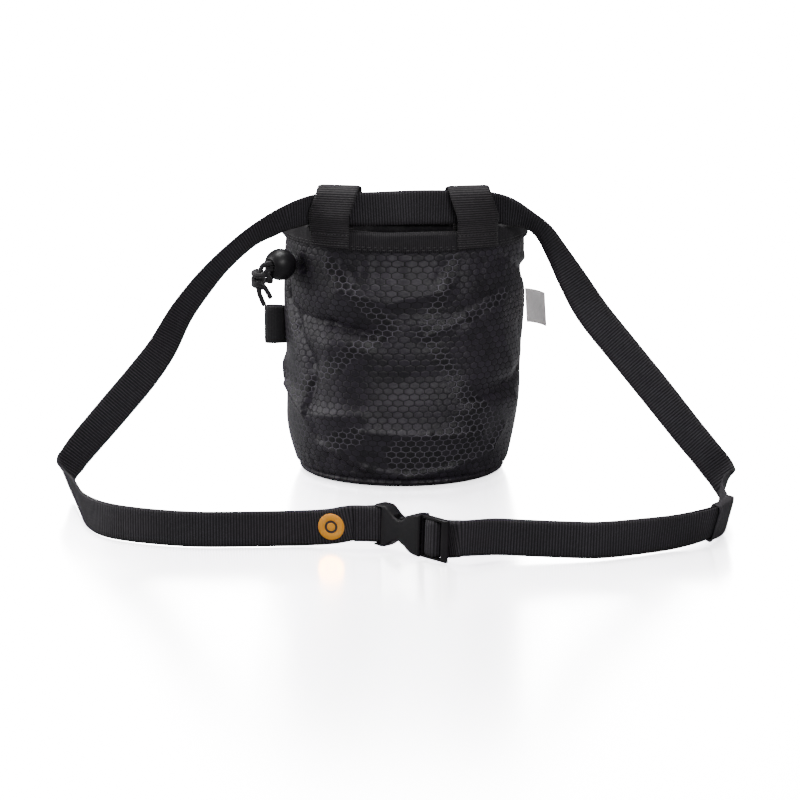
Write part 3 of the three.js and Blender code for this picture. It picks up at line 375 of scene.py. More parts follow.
def new_group(name, inputs, outputs):
    """Starts a shader node group with named inputs and outputs."""
    tree = bpy.data.node_groups.new(name, "ShaderNodeTree")
    for key, value in inputs.items():
        kind = "NodeSocketVector" if isinstance(value, tuple) else "NodeSocketFloat"
        tree.interface.new_socket(name=key, in_out="INPUT", socket_type=kind).default_value = value
    for key in outputs:
        tree.interface.new_socket(name=key, in_out="OUTPUT", socket_type="NodeSocketFloat")
    return tree, tree.nodes.new("NodeGroupInput").outputs, tree.nodes.new("NodeGroupOutput").inputs


def use_group(tree, group, values):
    node = tree.nodes.new("ShaderNodeGroup")
    node.node_tree = group
    for key, value in values.items():
        if isinstance(value, bpy.types.NodeSocket):
            tree.links.new(value, node.inputs[key])
        else:
            node.inputs[key].default_value = value
    return node.outputs


def make_honeycomb_group():
    """Six-sided cells in offset rows: how far a place is from its cell's edge, and a chance per cell."""
    tree, given, put_out = new_group(
        "honeycomb", {"Along": 0.0, "Up": 0.0, "Cell Width": 5.2, "Row Height": 3.4}, ["Edge", "Chance"])
    regular = calc(tree, "DIVIDE", given["Cell Width"], given["Row Height"])
    x = calc(tree, "DIVIDE", given["Along"], given["Cell Width"])
    y = calc(tree, "MULTIPLY", calc(tree, "DIVIDE", given["Up"], given["Cell Width"]),
             calc(tree, "MULTIPLY", regular, 0.8660254))
    place = put(tree, "ShaderNodeCombineXYZ", {0: x, 1: y}).outputs[0]
    half = (0.5, 0.8660254, 0.5)
    back = (-0.5, -0.8660254, -0.5)
    first = vector_calc(tree, "WRAP", place, half, back).outputs[0]
    moved = vector_calc(tree, "SUBTRACT", place, half).outputs[0]
    second = vector_calc(tree, "WRAP", moved, half, back).outputs[0]

    def from_centre(offset):
        size = vector_calc(tree, "ABSOLUTE", offset).outputs[0]
        slanted = vector_calc(tree, "DOT_PRODUCT", size, (0.5, 0.8660254, 0)).outputs["Value"]
        level = put(tree, "ShaderNodeSeparateXYZ", {0: size}).outputs[0]
        return calc(tree, "MAXIMUM", level, slanted)

    to_first, to_second = from_centre(first), from_centre(second)
    choose = calc(tree, "GREATER_THAN", to_first, to_second)
    offset = put(tree, "ShaderNodeMix", {0: choose, 4: first, 5: second}, data_type="VECTOR").outputs[1]
    nearest = calc(tree, "MINIMUM", to_first, to_second)
    cell = vector_calc(tree, "SUBTRACT", place, offset).outputs[0]
    nudged = vector_calc(tree, "ADD", cell, (0.05, 0.05, 0)).outputs[0]
    cell = vector_calc(tree, "SNAP", nudged, (0.1, 0.1, 1)).outputs[0]
    chance = put(tree, "ShaderNodeTexWhiteNoise", {"Vector": cell}, noise_dimensions="3D").outputs["Value"]
    tree.links.new(calc(tree, "SUBTRACT", 0.5, nearest), put_out["Edge"])
    tree.links.new(chance, put_out["Chance"])
    return tree


def make_wear_group():
    """Soft patches where the surface is rubbed paler or darker, and a fine grain of lint."""
    inputs = {"Place": (0.0, 0.0, 0.0), "Patch Size": 30.0}
    tree, given, put_out = new_group("wear", inputs, ["Patch", "Lint"])
    broad = {"Vector": given["Place"], "Scale": given["Patch Size"], "Detail": 3.0}
    patch = put(tree, "ShaderNodeTexNoise", broad)
    grain = put(tree, "ShaderNodeTexNoise", {"Vector": given["Place"], "Scale": 900.0, "Detail": 2.0})
    tree.links.new(remap(tree, patch.outputs[0], 0.35, 0.65), put_out["Patch"])
    tree.links.new(remap(tree, grain.outputs[0], 0.62, 0.80), put_out["Lint"])
    return tree


honeycomb_group = make_honeycomb_group()
wear_group = make_wear_group()


def start_material(name, roughness, sheen=0.0, specular=0.5):
    """Starts a material with one principled surface; the even values sit on its own sockets."""
    material = bpy.data.materials.new(name)
    material.use_nodes = True
    tree = material.node_tree
    surface = tree.nodes["Principled BSDF"]
    surface.inputs["Roughness"].default_value = roughness
    surface.inputs["Specular IOR Level"].default_value = specular
    surface.inputs["Sheen Weight"].default_value = sheen
    surface.inputs["Sheen Roughness"].default_value = 0.45
    return material, tree, surface


def cloth_place(tree):
    """The along and across places on a woven piece, in millimetres, and the place in the room."""
    parts = put(tree, "ShaderNodeSeparateXYZ", {0: put(tree, "ShaderNodeUVMap", uv_map="weave").outputs[0]})
    room = put(tree, "ShaderNodeTexCoord").outputs["Object"]
    return parts.outputs[0], parts.outputs[1], room


def set_bump(tree, surface, height, strength, distance):
    bump = put(tree, "ShaderNodeBump", {"Strength": strength, "Distance": distance, "Height": height})
    tree.links.new(bump.outputs[0], surface.inputs["Normal"])


def make_printed_cloth():
    material, tree, surface = start_material("printed_cloth", 0.42, sheen=0.0, specular=0.4)
    along, up, room = cloth_place(tree)
    print_place = {"Along": along, "Up": up, "Cell Width": CELL_WIDTH, "Row Height": CELL_ROW_HEIGHT}
    cells = use_group(tree, honeycomb_group, print_place)
    wear = use_group(tree, wear_group, {"Place": room, "Patch Size": 34.0})
    painted_sheen = put(tree, "ShaderNodeAttribute", attribute_name="painted_sheen").outputs["Fac"]
    inside = put(tree, "ShaderNodeAttribute", attribute_name="inside").outputs["Fac"]
    line = remap(tree, cells["Edge"], 0.022, 0.07, 1.0, 0.0)
    thin = remap(tree, cells["Edge"], 0.018, 0.050, 1.0, 0.0)
    speck = remap(tree, cells["Chance"], 0.0, 1.0, 0.0, 0.75)
    uneven = calc(tree, "MULTIPLY_ADD", wear["Patch"], 0.45, speck)
    dark_cell, light_cell = (0.0040, 0.0030, 0.0055, 1), (0.022, 0.0175, 0.0265, 1)
    cell_colour = blend_colour(tree, calc(tree, "MINIMUM", uneven, 1.0), dark_cell, light_cell)
    deep = blend_colour(tree, line, cell_colour, (0.0012, 0.0010, 0.0014, 1))
    # Painted sheen: where its share is high, the outlines are painted pale and the cells dark, standing in
    # for the light the cloth catches along its fold ridges.
    little = remap(tree, cells["Chance"], 0.0, 1.0, 0.0, 0.4)
    sheen_cell_colour = blend_colour(tree, little, (0.0024, 0.0019, 0.0032, 1), cell_colour)
    sheen_outline_colour = blend_colour(tree, thin, sheen_cell_colour, (0.12, 0.108, 0.135, 1))
    print_and_sheen = blend_colour(tree, painted_sheen, deep, sheen_outline_colour)
    dust = calc(tree, "MULTIPLY", wear["Lint"], 0.25)
    dusty = blend_colour(tree, dust, print_and_sheen, (0.05, 0.048, 0.052, 1))
    colour = blend_colour(tree, inside, dusty, (0.012, 0.011, 0.013, 1))
    tree.links.new(colour, surface.inputs["Base Color"])
    tree.links.new(remap(tree, line, 0.0, 1.0, 0.30, 0.8), surface.inputs["Roughness"])
    flat_place = put(tree, "ShaderNodeCombineXYZ", {0: along, 1: up}).outputs[0]
    threads = {"Vector": flat_place, "Scale": 0.9, "Distortion": 0.3}
    warp = put(tree, "ShaderNodeTexWave", threads, bands_direction="X").outputs[1]
    weft = put(tree, "ShaderNodeTexWave", threads, bands_direction="Y").outputs[1]
    weave = calc(tree, "MULTIPLY", calc(tree, "ADD", warp, weft), 0.14)
    cushion = remap(tree, cells["Edge"], 0.0, 0.16)
    outside = calc(tree, "SUBTRACT", 1.0, inside)
    height = calc(tree, "MULTIPLY_ADD", calc(tree, "MULTIPLY", cushion, outside), 0.8, weave)
    set_bump(tree, surface, height, 0.7, 0.0003)
    return material


# The lines and fields of painted sheen, where the cells' outlines are painted pale and the cells dark as the
# cloth catches the light along its fold ridges:
# from turn, from height, to turn, to height, half width in millimetres
SHEEN_LINES = [
    [-0.205, 0.88, -0.025, 0.64, 5.0],
    [-0.025, 0.64, -0.22, 0.45, 5.0],
    [0.115, 0.90, 0.045, 0.62, 4.5],
    [0.045, 0.62, 0.155, 0.38, 5.0],
    [0.155, 0.38, 0.235, 0.27, 6.0],
    [0.045, 0.62, 0.30, 0.74, 4.0],
    [-0.22, 0.45, -0.30, 0.38, 5.0],
    [0.02, 0.13, 0.30, 0.20, 13.0],
    [0.16, 0.26, 0.33, 0.22, 8.0],
    [-0.20, 0.17, -0.12, 0.21, 6.0],
    [-0.56, 0.86, -0.42, 0.84, 10.0],
    [-0.50, 0.62, -0.40, 0.55, 12.0],
    [-0.52, 0.45, -0.36, 0.38, 12.0],
    [-0.52, 0.26, -0.36, 0.22, 13.0],
    [0.44, 0.88, 0.56, 0.80, 9.0],
    [0.52, 0.60, 0.60, 0.30, 14.0],
    [-0.74, 0.86, -0.98, 0.56, 6.0],
    [-0.98, 0.56, -0.76, 0.28, 6.0],
    [0.72, 0.86, 0.98, 0.60, 6.0],
    [0.98, 0.60, 0.74, 0.26, 6.0],
    [-0.70, 0.12, -0.95, 0.16, 10.0],
    [0.80, 0.12, 0.98, 0.10, 9.0],
]


def add_wall():
    around = WALL_AROUND
    outer = [k / (OUTER_ROWS - 1) for k in range(OUTER_ROWS)]
    inner = [1 - k / (INNER_ROWS - 1) for k in range(INNER_ROWS)]
    turns = -1 + 2 * np.arange(around) / around
    rings, maps, painted_sheen, inside = [], [], [], []
    for k, height in enumerate(outer + inner):
        shown = k < len(outer)
        rings.append(wall_points(turns, height, 0 if shown else -WALL_THICK, True))
        maps.append(np.stack([turns * math.pi * MEAN_RADIUS, np.full(around, height * BAG_HEIGHT)], -1))
        # Each place's share of the painted sheen that lies along the listed lines.
        share = np.zeros(around)
        for row in SHEEN_LINES:
            away = line_distance(turns, height, row)
            share = np.maximum(share, 1 - smooth_step(away, row[4] - 1.5, row[4] + 1.5))
        painted_sheen.append(share)
        inside.append(np.full(around, 0.0 if shown else 1.0))
    profile = len(rings)
    points = np.stack(rings, 1).reshape(-1, 3)
    wall = add_mesh("bag_wall", points, ring_faces(around, profile))
    set_weave_map(wall, np.stack(maps, 1).reshape(-1, 2))
    set_shade(wall, "painted_sheen", np.stack(painted_sheen, 1).ravel())
    set_shade(wall, "inside", np.stack(inside, 1).ravel())
    face_out(wall)
    finish_piece(wall, make_printed_cloth(), "printed_cloth", "shell")


add_wall()


# The base. A round panel of the same cloth is sewn to the wall's lower edge, with the seam turned
# to the inside.
def make_base_cloth():
    material, tree, surface = start_material("base_cloth", 0.6, sheen=0.1)
    room = put(tree, "ShaderNodeTexCoord").outputs["Object"]
    wear = use_group(tree, wear_group, {"Place": room, "Patch Size": 40.0})
    threads = put(tree, "ShaderNodeTexVoronoi", {"Vector": room, "Scale": 1300.0}).outputs["Distance"]
    worn = calc(tree, "MULTIPLY_ADD", wear["Lint"], 0.4, calc(tree, "MULTIPLY", wear["Patch"], 0.6))
    colour = blend_colour(tree, worn, (0.010, 0.009, 0.011, 1), (0.026, 0.024, 0.027, 1))
    tree.links.new(colour, surface.inputs["Base Color"])
    set_bump(tree, surface, threads, 0.4, 0.0002)
    return material


def dress_node(name, material):
    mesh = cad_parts[name].data
    mesh.materials.clear()
    mesh.materials.append(material)


dress_node("base_panel", make_base_cloth())

# The mouth's band. Ribbed tape is folded over the wall's top edge, round a stiff core, and held by
# two rows of stitches through all the layers.
RIM_BAND_HEIGHT = 9.5
RIM_BAND_THICK = 1.8
CLEARANCE = 0.3
BAND_RIB = 1.15
BAND_AROUND = 900
RIB_RISE = 0.07
STITCH_THICK = 0.22
BAND_STITCH = 2.3
BAND_STITCH_COUNT = 130
RIM_OUTSIDE = CLEARANCE + RIM_BAND_THICK
RIM_TOP = BAG_HEIGHT + RIM_OUTSIDE

# distance below the wall's top, shift as a share of a stitch
BAND_STITCH_ROWS = [(8.2, 0.25), (6.6, 0)]


def make_ribs_group():
    """Woven ribs: raised rows across the webbing, each made of small twisted threads, and a painted shade
    that is dark in the grooves between ribs and threads and light on their crests.
    """
    inputs = {"Along": 0.0, "Across": 0.0, "Pitch": 1.9, "Thread": 0.9}
    tree, given, put_out = new_group("woven_ribs", inputs, ["Height", "Painted Shade", "Chance"])
    phase = calc(tree, "DIVIDE", given["Along"], given["Pitch"])
    row = calc(tree, "FLOOR", calc(tree, "ADD", phase, 0.5))
    swing = calc(tree, "COSINE", calc(tree, "MULTIPLY", phase, 2 * math.pi))
    rib = calc(tree, "MULTIPLY_ADD", swing, 0.5, 0.5)
    odd = calc(tree, "MULTIPLY", calc(tree, "MODULO", row, 2.0), 0.5)
    turn = calc(tree, "ADD", calc(tree, "DIVIDE", given["Across"], given["Thread"]), odd)
    thread = calc(tree, "ABSOLUTE", calc(tree, "SINE", calc(tree, "MULTIPLY", turn, math.pi)))
    thread = calc(tree, "POWER", thread, 0.6)
    place = put(tree, "ShaderNodeCombineXYZ", {0: row, 1: calc(tree, "FLOOR", turn)}).outputs[0]
    chance = put(tree, "ShaderNodeTexWhiteNoise", {"Vector": place}, noise_dimensions="3D").outputs["Value"]
    height = calc(tree, "MULTIPLY_ADD", thread, 0.45, calc(tree, "MULTIPLY", rib, 0.7))
    lit = calc(tree, "MULTIPLY_ADD", thread, 0.6, 0.4)
    painted_shade = calc(tree, "MULTIPLY", calc(tree, "POWER", rib, 0.8), lit)
    tree.links.new(height, put_out["Height"])
    tree.links.new(painted_shade, put_out["Painted Shade"])
    tree.links.new(chance, put_out["Chance"])
    return tree


ribs_group = make_ribs_group()


def make_webbing(name, pitch, thread, low, high, roughness=0.55, sheen=0.05, bump=0.8):
    material, tree, surface = start_material(name, roughness, sheen=sheen, specular=0.3)
    along, across, room = cloth_place(tree)
    places = {"Along": along, "Across": across, "Pitch": pitch, "Thread": thread}
    ribs = use_group(tree, ribs_group, places)
    wear = use_group(tree, wear_group, {"Place": room, "Patch Size": 45.0})
    # The colour carries the ribs' painted shade, dark in the grooves and light on the crests, with its tone
    # varied at random per thread and by worn patches.
    painted_shade_and_wear = calc(tree, "MULTIPLY", ribs["Painted Shade"], remap(tree, ribs["Chance"], 0.0, 1.0, 0.75, 1.0))
    painted_shade_and_wear = calc(tree, "MULTIPLY", painted_shade_and_wear, remap(tree, wear["Patch"], 0.0, 1.0, 0.75, 1.0))
    colour = blend_colour(tree, painted_shade_and_wear, (*low, 1), (*high, 1))
    lint = calc(tree, "MULTIPLY", wear["Lint"], 0.3)
    colour = blend_colour(tree, lint, colour, (0.06, 0.058, 0.062, 1))
    tree.links.new(colour, surface.inputs["Base Color"])
    gloss = remap(tree, ribs["Painted Shade"], 0.0, 1.0, roughness + 0.2, roughness)
    tree.links.new(gloss, surface.inputs["Roughness"])
    set_bump(tree, surface, ribs["Height"], bump, 0.00022)
    return material


def make_thread(name, low, high, roughness=0.5):
    material, tree, surface = start_material(name, roughness, sheen=0.2, specular=0.4)
    room = put(tree, "ShaderNodeTexCoord").outputs["Object"]
    twist = put(tree, "ShaderNodeTexNoise", {"Vector": room, "Scale": 2600.0, "Detail": 2.0}).outputs[0]
    tree.links.new(blend_colour(tree, twist, (*low, 1), (*high, 1)), surface.inputs["Base Color"])
    set_bump(tree, surface, twist, 0.5, 0.0001)
    return material


def unit(vector):
    return vector / np.linalg.norm(vector, axis=-1, keepdims=True)


def stitch_points(middles, alongs, outs, length):
    """Points and faces of short raised stitches at given places, in millimetres."""
    points, faces, sides = [], [], 6
    # place along as a share of half the length, girth and lift as shares of the thickness
    rings = [(-1.0, 0.15, -0.6), (-0.6, 0.8, 0.1), (0.0, 1.0, 0.45), (0.6, 0.8, 0.1), (1.0, 0.15, -0.6)]
    for middle, along, out in zip(middles, alongs, outs):
        side = np.cross(along, out)
        base = len(points)
        for reach, girth, lift in rings:
            for k in range(sides):
                angle = 2 * math.pi * k / sides
                points.append(middle + along * reach * length / 2 + out * lift * STITCH_THICK
                              + (side * math.cos(angle) + out * math.sin(angle)) * girth * STITCH_THICK)
        for r in range(len(rings) - 1):
            for k in range(sides):
                a, b = base + r * sides + k, base + r * sides + (k + 1) % sides
                faces.append((a, b, b + sides, a + sides))
        faces.append(tuple(base + k for k in reversed(range(sides))))
        last = base + (len(rings) - 1) * sides
        faces.append(tuple(last + k for k in range(sides)))
    return points, faces


black_thread = make_thread("black_thread", (0.012, 0.011, 0.013), (0.045, 0.042, 0.048))
band_webbing = make_webbing("band_webbing", BAND_RIB, 0.7, (0.0012, 0.0010, 0.0015), (0.030, 0.026, 0.032))


def add_rim_band():
    outer = RIM_OUTSIDE
    drop = RIM_BAND_HEIGHT / BAG_HEIGHT
    inner = -WALL_THICK - outer
    crown = 0.2
    # share of the drop below the top, rise above the top, distance out of the wall's face
    path = [
        (1, 0, outer - 0.5),
        (0.97, 0, outer - 0.08),
        (0.8, 0, outer),
        (0.6, 0, outer),
        (0.4, 0, outer + 0.05),
        (0.2, 0, outer),
        (0, crown, outer),
    ]
    front_rows = len(path)
    middle, half = -WALL_THICK / 2, WALL_THICK / 2 + outer
    for k in range(1, 16):
        angle = math.pi * k / 16
        path.append((0, crown + (outer - crown) * math.sin(angle), middle + half * math.cos(angle)))
    path += [(0, crown, inner), (0.4, 0, inner)]
    shown_rows = len(path)
    path += [
        (1, 0, inner),
        (1, 0, -WALL_THICK - CLEARANCE),
        (0, CLEARANCE, -WALL_THICK - CLEARANCE),
        (0, CLEARANCE, CLEARANCE),
        (1, 0, CLEARANCE),
    ]
    around = BAND_AROUND
    turns = -1 + 2 * np.arange(around) / around
    ring = wall_points(turns, 1.0, 0)
    lengths = np.concatenate([[0], np.cumsum(np.linalg.norm(np.diff(ring, axis=0), axis=1))])
    lengths *= round(lengths[-1] / BAND_RIB) * BAND_RIB / lengths[-1]
    ribs = RIB_RISE * np.cos(2 * math.pi * lengths / BAND_RIB)
    rows, maps, walked = [], [], 0.0
    for k, (share, rise, out) in enumerate(path):
        shown = 0 < k < shown_rows
        soft = 0.16 * np.sin(turns * math.pi * 23 + 1.3 * np.sin(turns * 17)) if shown and share else 0
        place = wall_points(turns, 1 - share * drop, out + (ribs if shown else 0) + soft)
        place[:, 2] += rise + (ribs if rise > 0.6 else 0)
        if rise > CLEARANCE:
            place[:, 2] += 0.25 * np.sin(turns * math.pi * 11)
        if 0 < k < front_rows:
            walked += max(0.2, math.hypot((path[k - 1][0] - share) * RIM_BAND_HEIGHT, rise - path[k - 1][1]))
        elif k:
            walked += max(0.2, math.dist(path[k - 1][1:], path[k][1:]))
        rows.append(place)
        maps.append(np.stack([lengths, np.full(around, walked)], -1))
    band = add_mesh("mouth_band", np.stack(rows, 1).reshape(-1, 3), ring_faces(around, len(path)))
    set_weave_map(band, np.stack(maps, 1).reshape(-1, 2))
    face_out(band)
    finish_piece(band, band_webbing, "webbing", "rim_band")


def add_band_stitches():
    middles, alongs, outs = [], [], []
    face = RIM_OUTSIDE + 0.02
    for below, shift in BAND_STITCH_ROWS:
        height = 1 - below / BAG_HEIGHT
        turns = -1 + 2 * (np.arange(BAND_STITCH_COUNT) + shift) / BAND_STITCH_COUNT
        here = wall_points(turns, height, face)
        middles += list(here)
        alongs += list(unit(wall_points(turns + 0.002, height, face) - here))
        outs += list(unit(wall_points(turns, height, face + 1) - here))
    stitches = add_mesh("band_stitches", *stitch_points(middles, alongs, outs, BAND_STITCH))
    finish_piece(stitches, black_thread, "webbing")


add_rim_band()
add_band_stitches()

# The belt loops. Two lengths of wide ribbed webbing are folded over the mouth's band, stand up
# from it, and are sewn through it at both ends, in front and inside.
LOOP_WIDTH = 25.0
LOOP_THICK = 1.6
LOOP_RISE = 25.0
LOOP_LEAN = 5.5
LOOP_OUTER_BULGE = 2.9
LOOP_INNER_BULGE = 1.2
LEFT_LOOP_TURN = -0.194
RIGHT_LOOP_TURN = 0.183
LOOP_RIB = 1.35
RIB_INSET = 0.1
LOOP_STITCH = 1.6
LOOP_STITCH_HEIGHTS = (1.3, 3.1, 7.6)
LEG_FOOT = BAG_HEIGHT - RIM_BAND_HEIGHT + 1
OUTER_LEG = CLEARANCE * 2 + RIM_BAND_THICK + LOOP_THICK / 2
INNER_LEG = -WALL_THICK - OUTER_LEG
CLEAR_OF_RIM = RIM_TOP + RIM_RISE / 2


def loop_places(centre_turn, out, height, across):
    """Places on a belt loop, in millimetres, for many distances across at one height."""
    centre = wall_points([centre_turn], 1, 0)[0]
    ahead = wall_points([centre_turn + 0.01], 1, 0)[0]
    ahead[2] = centre[2]
    ahead = ahead - centre
    turns = centre_turn + across * 0.01 / np.linalg.norm(ahead)
    on_wall = wall_points(turns, 1, out)
    top_along = unit(np.array([1.0, 0, 0]) * 0.5 + unit(ahead) * 0.5)
    top_out = np.array([top_along[1], -top_along[0], 0])
    at_top = centre + top_along * across[:, None] + top_out * out
    at_top[:, 0] -= math.copysign(LOOP_LEAN, centre_turn)
    share = smooth_step(height, CLEAR_OF_RIM, RIM_TOP + LOOP_RISE)
    place = on_wall * (1 - share) + at_top * share
    place[:, 2] = height + RIM_RISE * math.sin(centre_turn * math.pi) ** 2
    return place


def smooth_line(points, counts, kind="centripetal"):
    """A curve through points, sampled evenly in each span, as far as the next point."""
    points = [np.asarray(p, float) for p in points]
    points = [2 * points[0] - points[1], *points, 2 * points[-1] - points[-2]]
    found = []
    for k, count in enumerate(counts):
        a, b, c, d = points[k:k + 4]
        if kind == "centripetal":
            ways = [np.linalg.norm(b - a), np.linalg.norm(c - b), np.linalg.norm(d - c)]
            before, here, after = (max(math.sqrt(way), 1e-4) for way in ways)
            slope_b = ((b - a) / before - (c - a) / (before + here) + (c - b) / here) * here
            slope_c = ((c - b) / here - (d - b) / (here + after) + (d - c) / after) * here
        else:
            slope_b, slope_c = (c - a) / 2, (d - b) / 2
        for t in np.arange(count) / count:
            found.append(b + slope_b * t + (3 * (c - b) - 2 * slope_b - slope_c) * t * t
                         + (2 * (b - c) + slope_b + slope_c) * t ** 3)
    found.append(points[-2])
    return np.array(found)


def walked_along(line):
    return np.concatenate([[0], np.cumsum(np.linalg.norm(np.diff(line, axis=0), axis=1))])


def even_steps(line, step, *others):
    """The line again with even steps, and with it the values that belong to its points."""
    walked = walked_along(line)
    count = max(2, int(round(walked[-1] / step)))
    at = np.linspace(0, walked[-1], count + 1)

    def resample(values):
        return np.stack([np.interp(at, walked, column) for column in values.T], -1)

    return (at, resample(line), *map(resample, others))


def add_strip(name, front, back, lengths, across, material, slot, *nodes):
    """A woven strip between two grids of points, closed at its edges and ends."""
    rows, columns = front.shape[:2]
    points = np.concatenate([front.reshape(-1, 3), back.reshape(-1, 3)])
    faces, half = [], rows * columns
    for i in range(rows - 1):
        row = i * columns
        for j in range(columns - 1):
            a = row + j
            faces.append((a, a + columns, a + columns + 1, a + 1))
            faces.append((half + a, half + a + 1, half + a + columns + 1, half + a + columns))
        faces.append((row, half + row, half + row + columns, row + columns))
        end = row + columns - 1
        faces.append((end + columns, half + end + columns, half + end, end))
    for j in range(columns - 1):
        last = (rows - 1) * columns + j
        faces.append((j + 1, half + j + 1, half + j, j))
        faces.append((last, half + last, half + last + 1, last + 1))
    strip = add_mesh(name, points, faces)
    grid = np.stack(np.meshgrid(lengths, across, indexing="ij"), -1).reshape(-1, 2)
    set_weave_map(strip, np.concatenate([grid, grid]))
    face_out(strip)
    finish_piece(strip, material, slot, *nodes)
    return strip


def edge_thinning(columns):
    """How thick a strip is from edge to edge, as a share: full in the middle, rounded at the edges."""
    place = np.linspace(-1, 1, columns)
    return np.sqrt(np.clip(1 - np.abs(place) ** 14, 0.12, 1))


loop_webbing = make_webbing("loop_webbing", LOOP_RIB, 0.8, (0.0015, 0.0012, 0.0018), (0.050, 0.044, 0.050))


def add_belt_loop(name, centre_turn, node):
    outer_side, inner_side = OUTER_LEG + LOOP_OUTER_BULGE, INNER_LEG - LOOP_INNER_BULGE
    middle, radius = (outer_side + inner_side) / 2, (outer_side - inner_side) / 2
    arch = RIM_TOP + LOOP_RISE - radius

    def between(share):
        return CLEAR_OF_RIM + (arch - CLEAR_OF_RIM) * share

    path = [
        (OUTER_LEG, LEG_FOOT),
        (OUTER_LEG, CLEAR_OF_RIM),
        (OUTER_LEG + LOOP_OUTER_BULGE * 0.75, between(0.3)),
        (outer_side, between(0.7)),
    ]
    for k in range(7):
        angle = math.pi * k / 6
        path.append((middle + radius * math.cos(angle), arch + radius * math.sin(angle)))
    path += [
        (inner_side, between(0.7)),
        (INNER_LEG - LOOP_INNER_BULGE * 0.75, between(0.3)),
        (INNER_LEG, CLEAR_OF_RIM),
        (INNER_LEG, LEG_FOOT),
    ]
    line = smooth_line(path, [10] * (len(path) - 1))
    lengths, line = even_steps(line, LOOP_RIB / 5)
    run = unit(np.gradient(line, axis=0))
    columns = 15
    across = LOOP_WIDTH * (np.arange(columns) / (columns - 1) - 0.5)
    thin = edge_thinning(columns)
    ribs = RIB_RISE * np.cos(2 * math.pi * lengths / LOOP_RIB)
    front, back = [], []
    for k, (out, height) in enumerate(line):
        for grid, side in ((front, 1), (back, -1)):
            offset = side * (LOOP_THICK / 2 - RIB_INSET + ribs[k])
            near = loop_places(centre_turn, out + run[k][1] * offset, height - run[k][0] * offset, across)
            flat = loop_places(centre_turn, out, height, across)
            grid.append(flat + (near - flat) * thin[:, None])
    add_strip(name, np.array(front), np.array(back), lengths, across, loop_webbing, "webbing", node)


def add_loop_stitches(name, centre_turn):
    middles, alongs, outs = [], [], []
    across = np.linspace(-LOOP_WIDTH / 2 + 1.2, LOOP_WIDTH / 2 - 1.2, 12)
    for rise in LOOP_STITCH_HEIGHTS:
        height = LEG_FOOT + rise
        for leg, side in ((OUTER_LEG, 1), (INNER_LEG, -1)):
            face = leg + side * (LOOP_THICK / 2 + 0.06)
            here = loop_places(centre_turn, face, height, across)
            ahead = loop_places(centre_turn, face, height, across + 0.2)
            out = loop_places(centre_turn, leg + side * (LOOP_THICK / 2 + 1), height, across) - here
            middles += list(here)
            alongs += list(unit(ahead - here))
            outs += list(unit(out))
    stitches = add_mesh(name, *stitch_points(middles, alongs, outs, LOOP_STITCH))
    finish_piece(stitches, black_thread, "webbing")


add_belt_loop("belt_loop_left_webbing", LEFT_LOOP_TURN, "belt_loop_left")
add_belt_loop("belt_loop_right_webbing", RIGHT_LOOP_TURN, "belt_loop_right")
add_loop_stitches("loop_stitches_left", LEFT_LOOP_TURN)
add_loop_stitches("loop_stitches_right", RIGHT_LOOP_TURN)

# The waist belt. One long strip of ribbed black webbing: sewn round the socket's bar at its left end,
# led through both loops, threaded up and over the plug's near bar, and doubled back as the tail.
BELT_WIDTH = 20.0
BELT_THICK = 1.5
LAYER_GAP = 0.4
LEFT_REACH = 193.2
RIGHT_REACH = 188.4
FRONT_FORWARD = 250.0
STANDING = BELT_WIDTH / 2
BELT_RIB = 1.6
BELT_STITCH = 1.7
BELT_STITCH_PLACES = (4.0, 6.2, 13.2)
BELT_CENTRE_HEIGHT = RIM_TOP + 5 + BELT_WIDTH / 2
LEFT_CORNER = np.array([-LEFT_REACH, -91.0, STANDING + 2.1])
RIGHT_CORNER = np.array([RIGHT_REACH, -103.0, STANDING + 2.1])
LAYER_STEP = BELT_THICK + LAYER_GAP

PLATE_LENGTH = 27.8
PLUG_LENGTH = 18.6
SLANT = math.radians(43)
TILT = math.radians(2.6)
BUCKLE_ALONG = np.array([
    math.cos(SLANT) * math.cos(TILT),
    -math.sin(SLANT) * math.cos(TILT),
    -math.sin(TILT),
])
BUCKLE_OUT = np.array([-math.sin(SLANT), -math.cos(SLANT), 0])
BUCKLE_UP = np.cross(BUCKLE_OUT, BUCKLE_ALONG)
BUCKLE_CENTRE = np.array([13, -237, BELT_WIDTH / 2 + 2 + PLUG_LENGTH * math.sin(TILT) + 0.1])
SEWN_TURN = 1 + CLEARANCE + BELT_THICK / 2 + 0.7
SEWN_BAR = -PLATE_LENGTH - SEWN_TURN - BELT_THICK / 2 - CLEARANCE * 1.5
NEAR_BAR_START = 4.2
NEAR_BAR_END = NEAR_BAR_START + 4.2
FAR_BAR = PLUG_LENGTH - 3.8
OVER_BAR = 1 + CLEARANCE + BELT_THICK / 2 + 0.25
TAIL_DEPTH = -4 * 0.35 - CLEARANCE - BELT_THICK / 2 - 0.1
LOAD_DEPTH = TAIL_DEPTH - BELT_THICK - LAYER_GAP


def on_buckle(along, out, high=0.0):
    return BUCKLE_CENTRE + BUCKLE_ALONG * along + BUCKLE_OUT * out + BUCKLE_UP * high


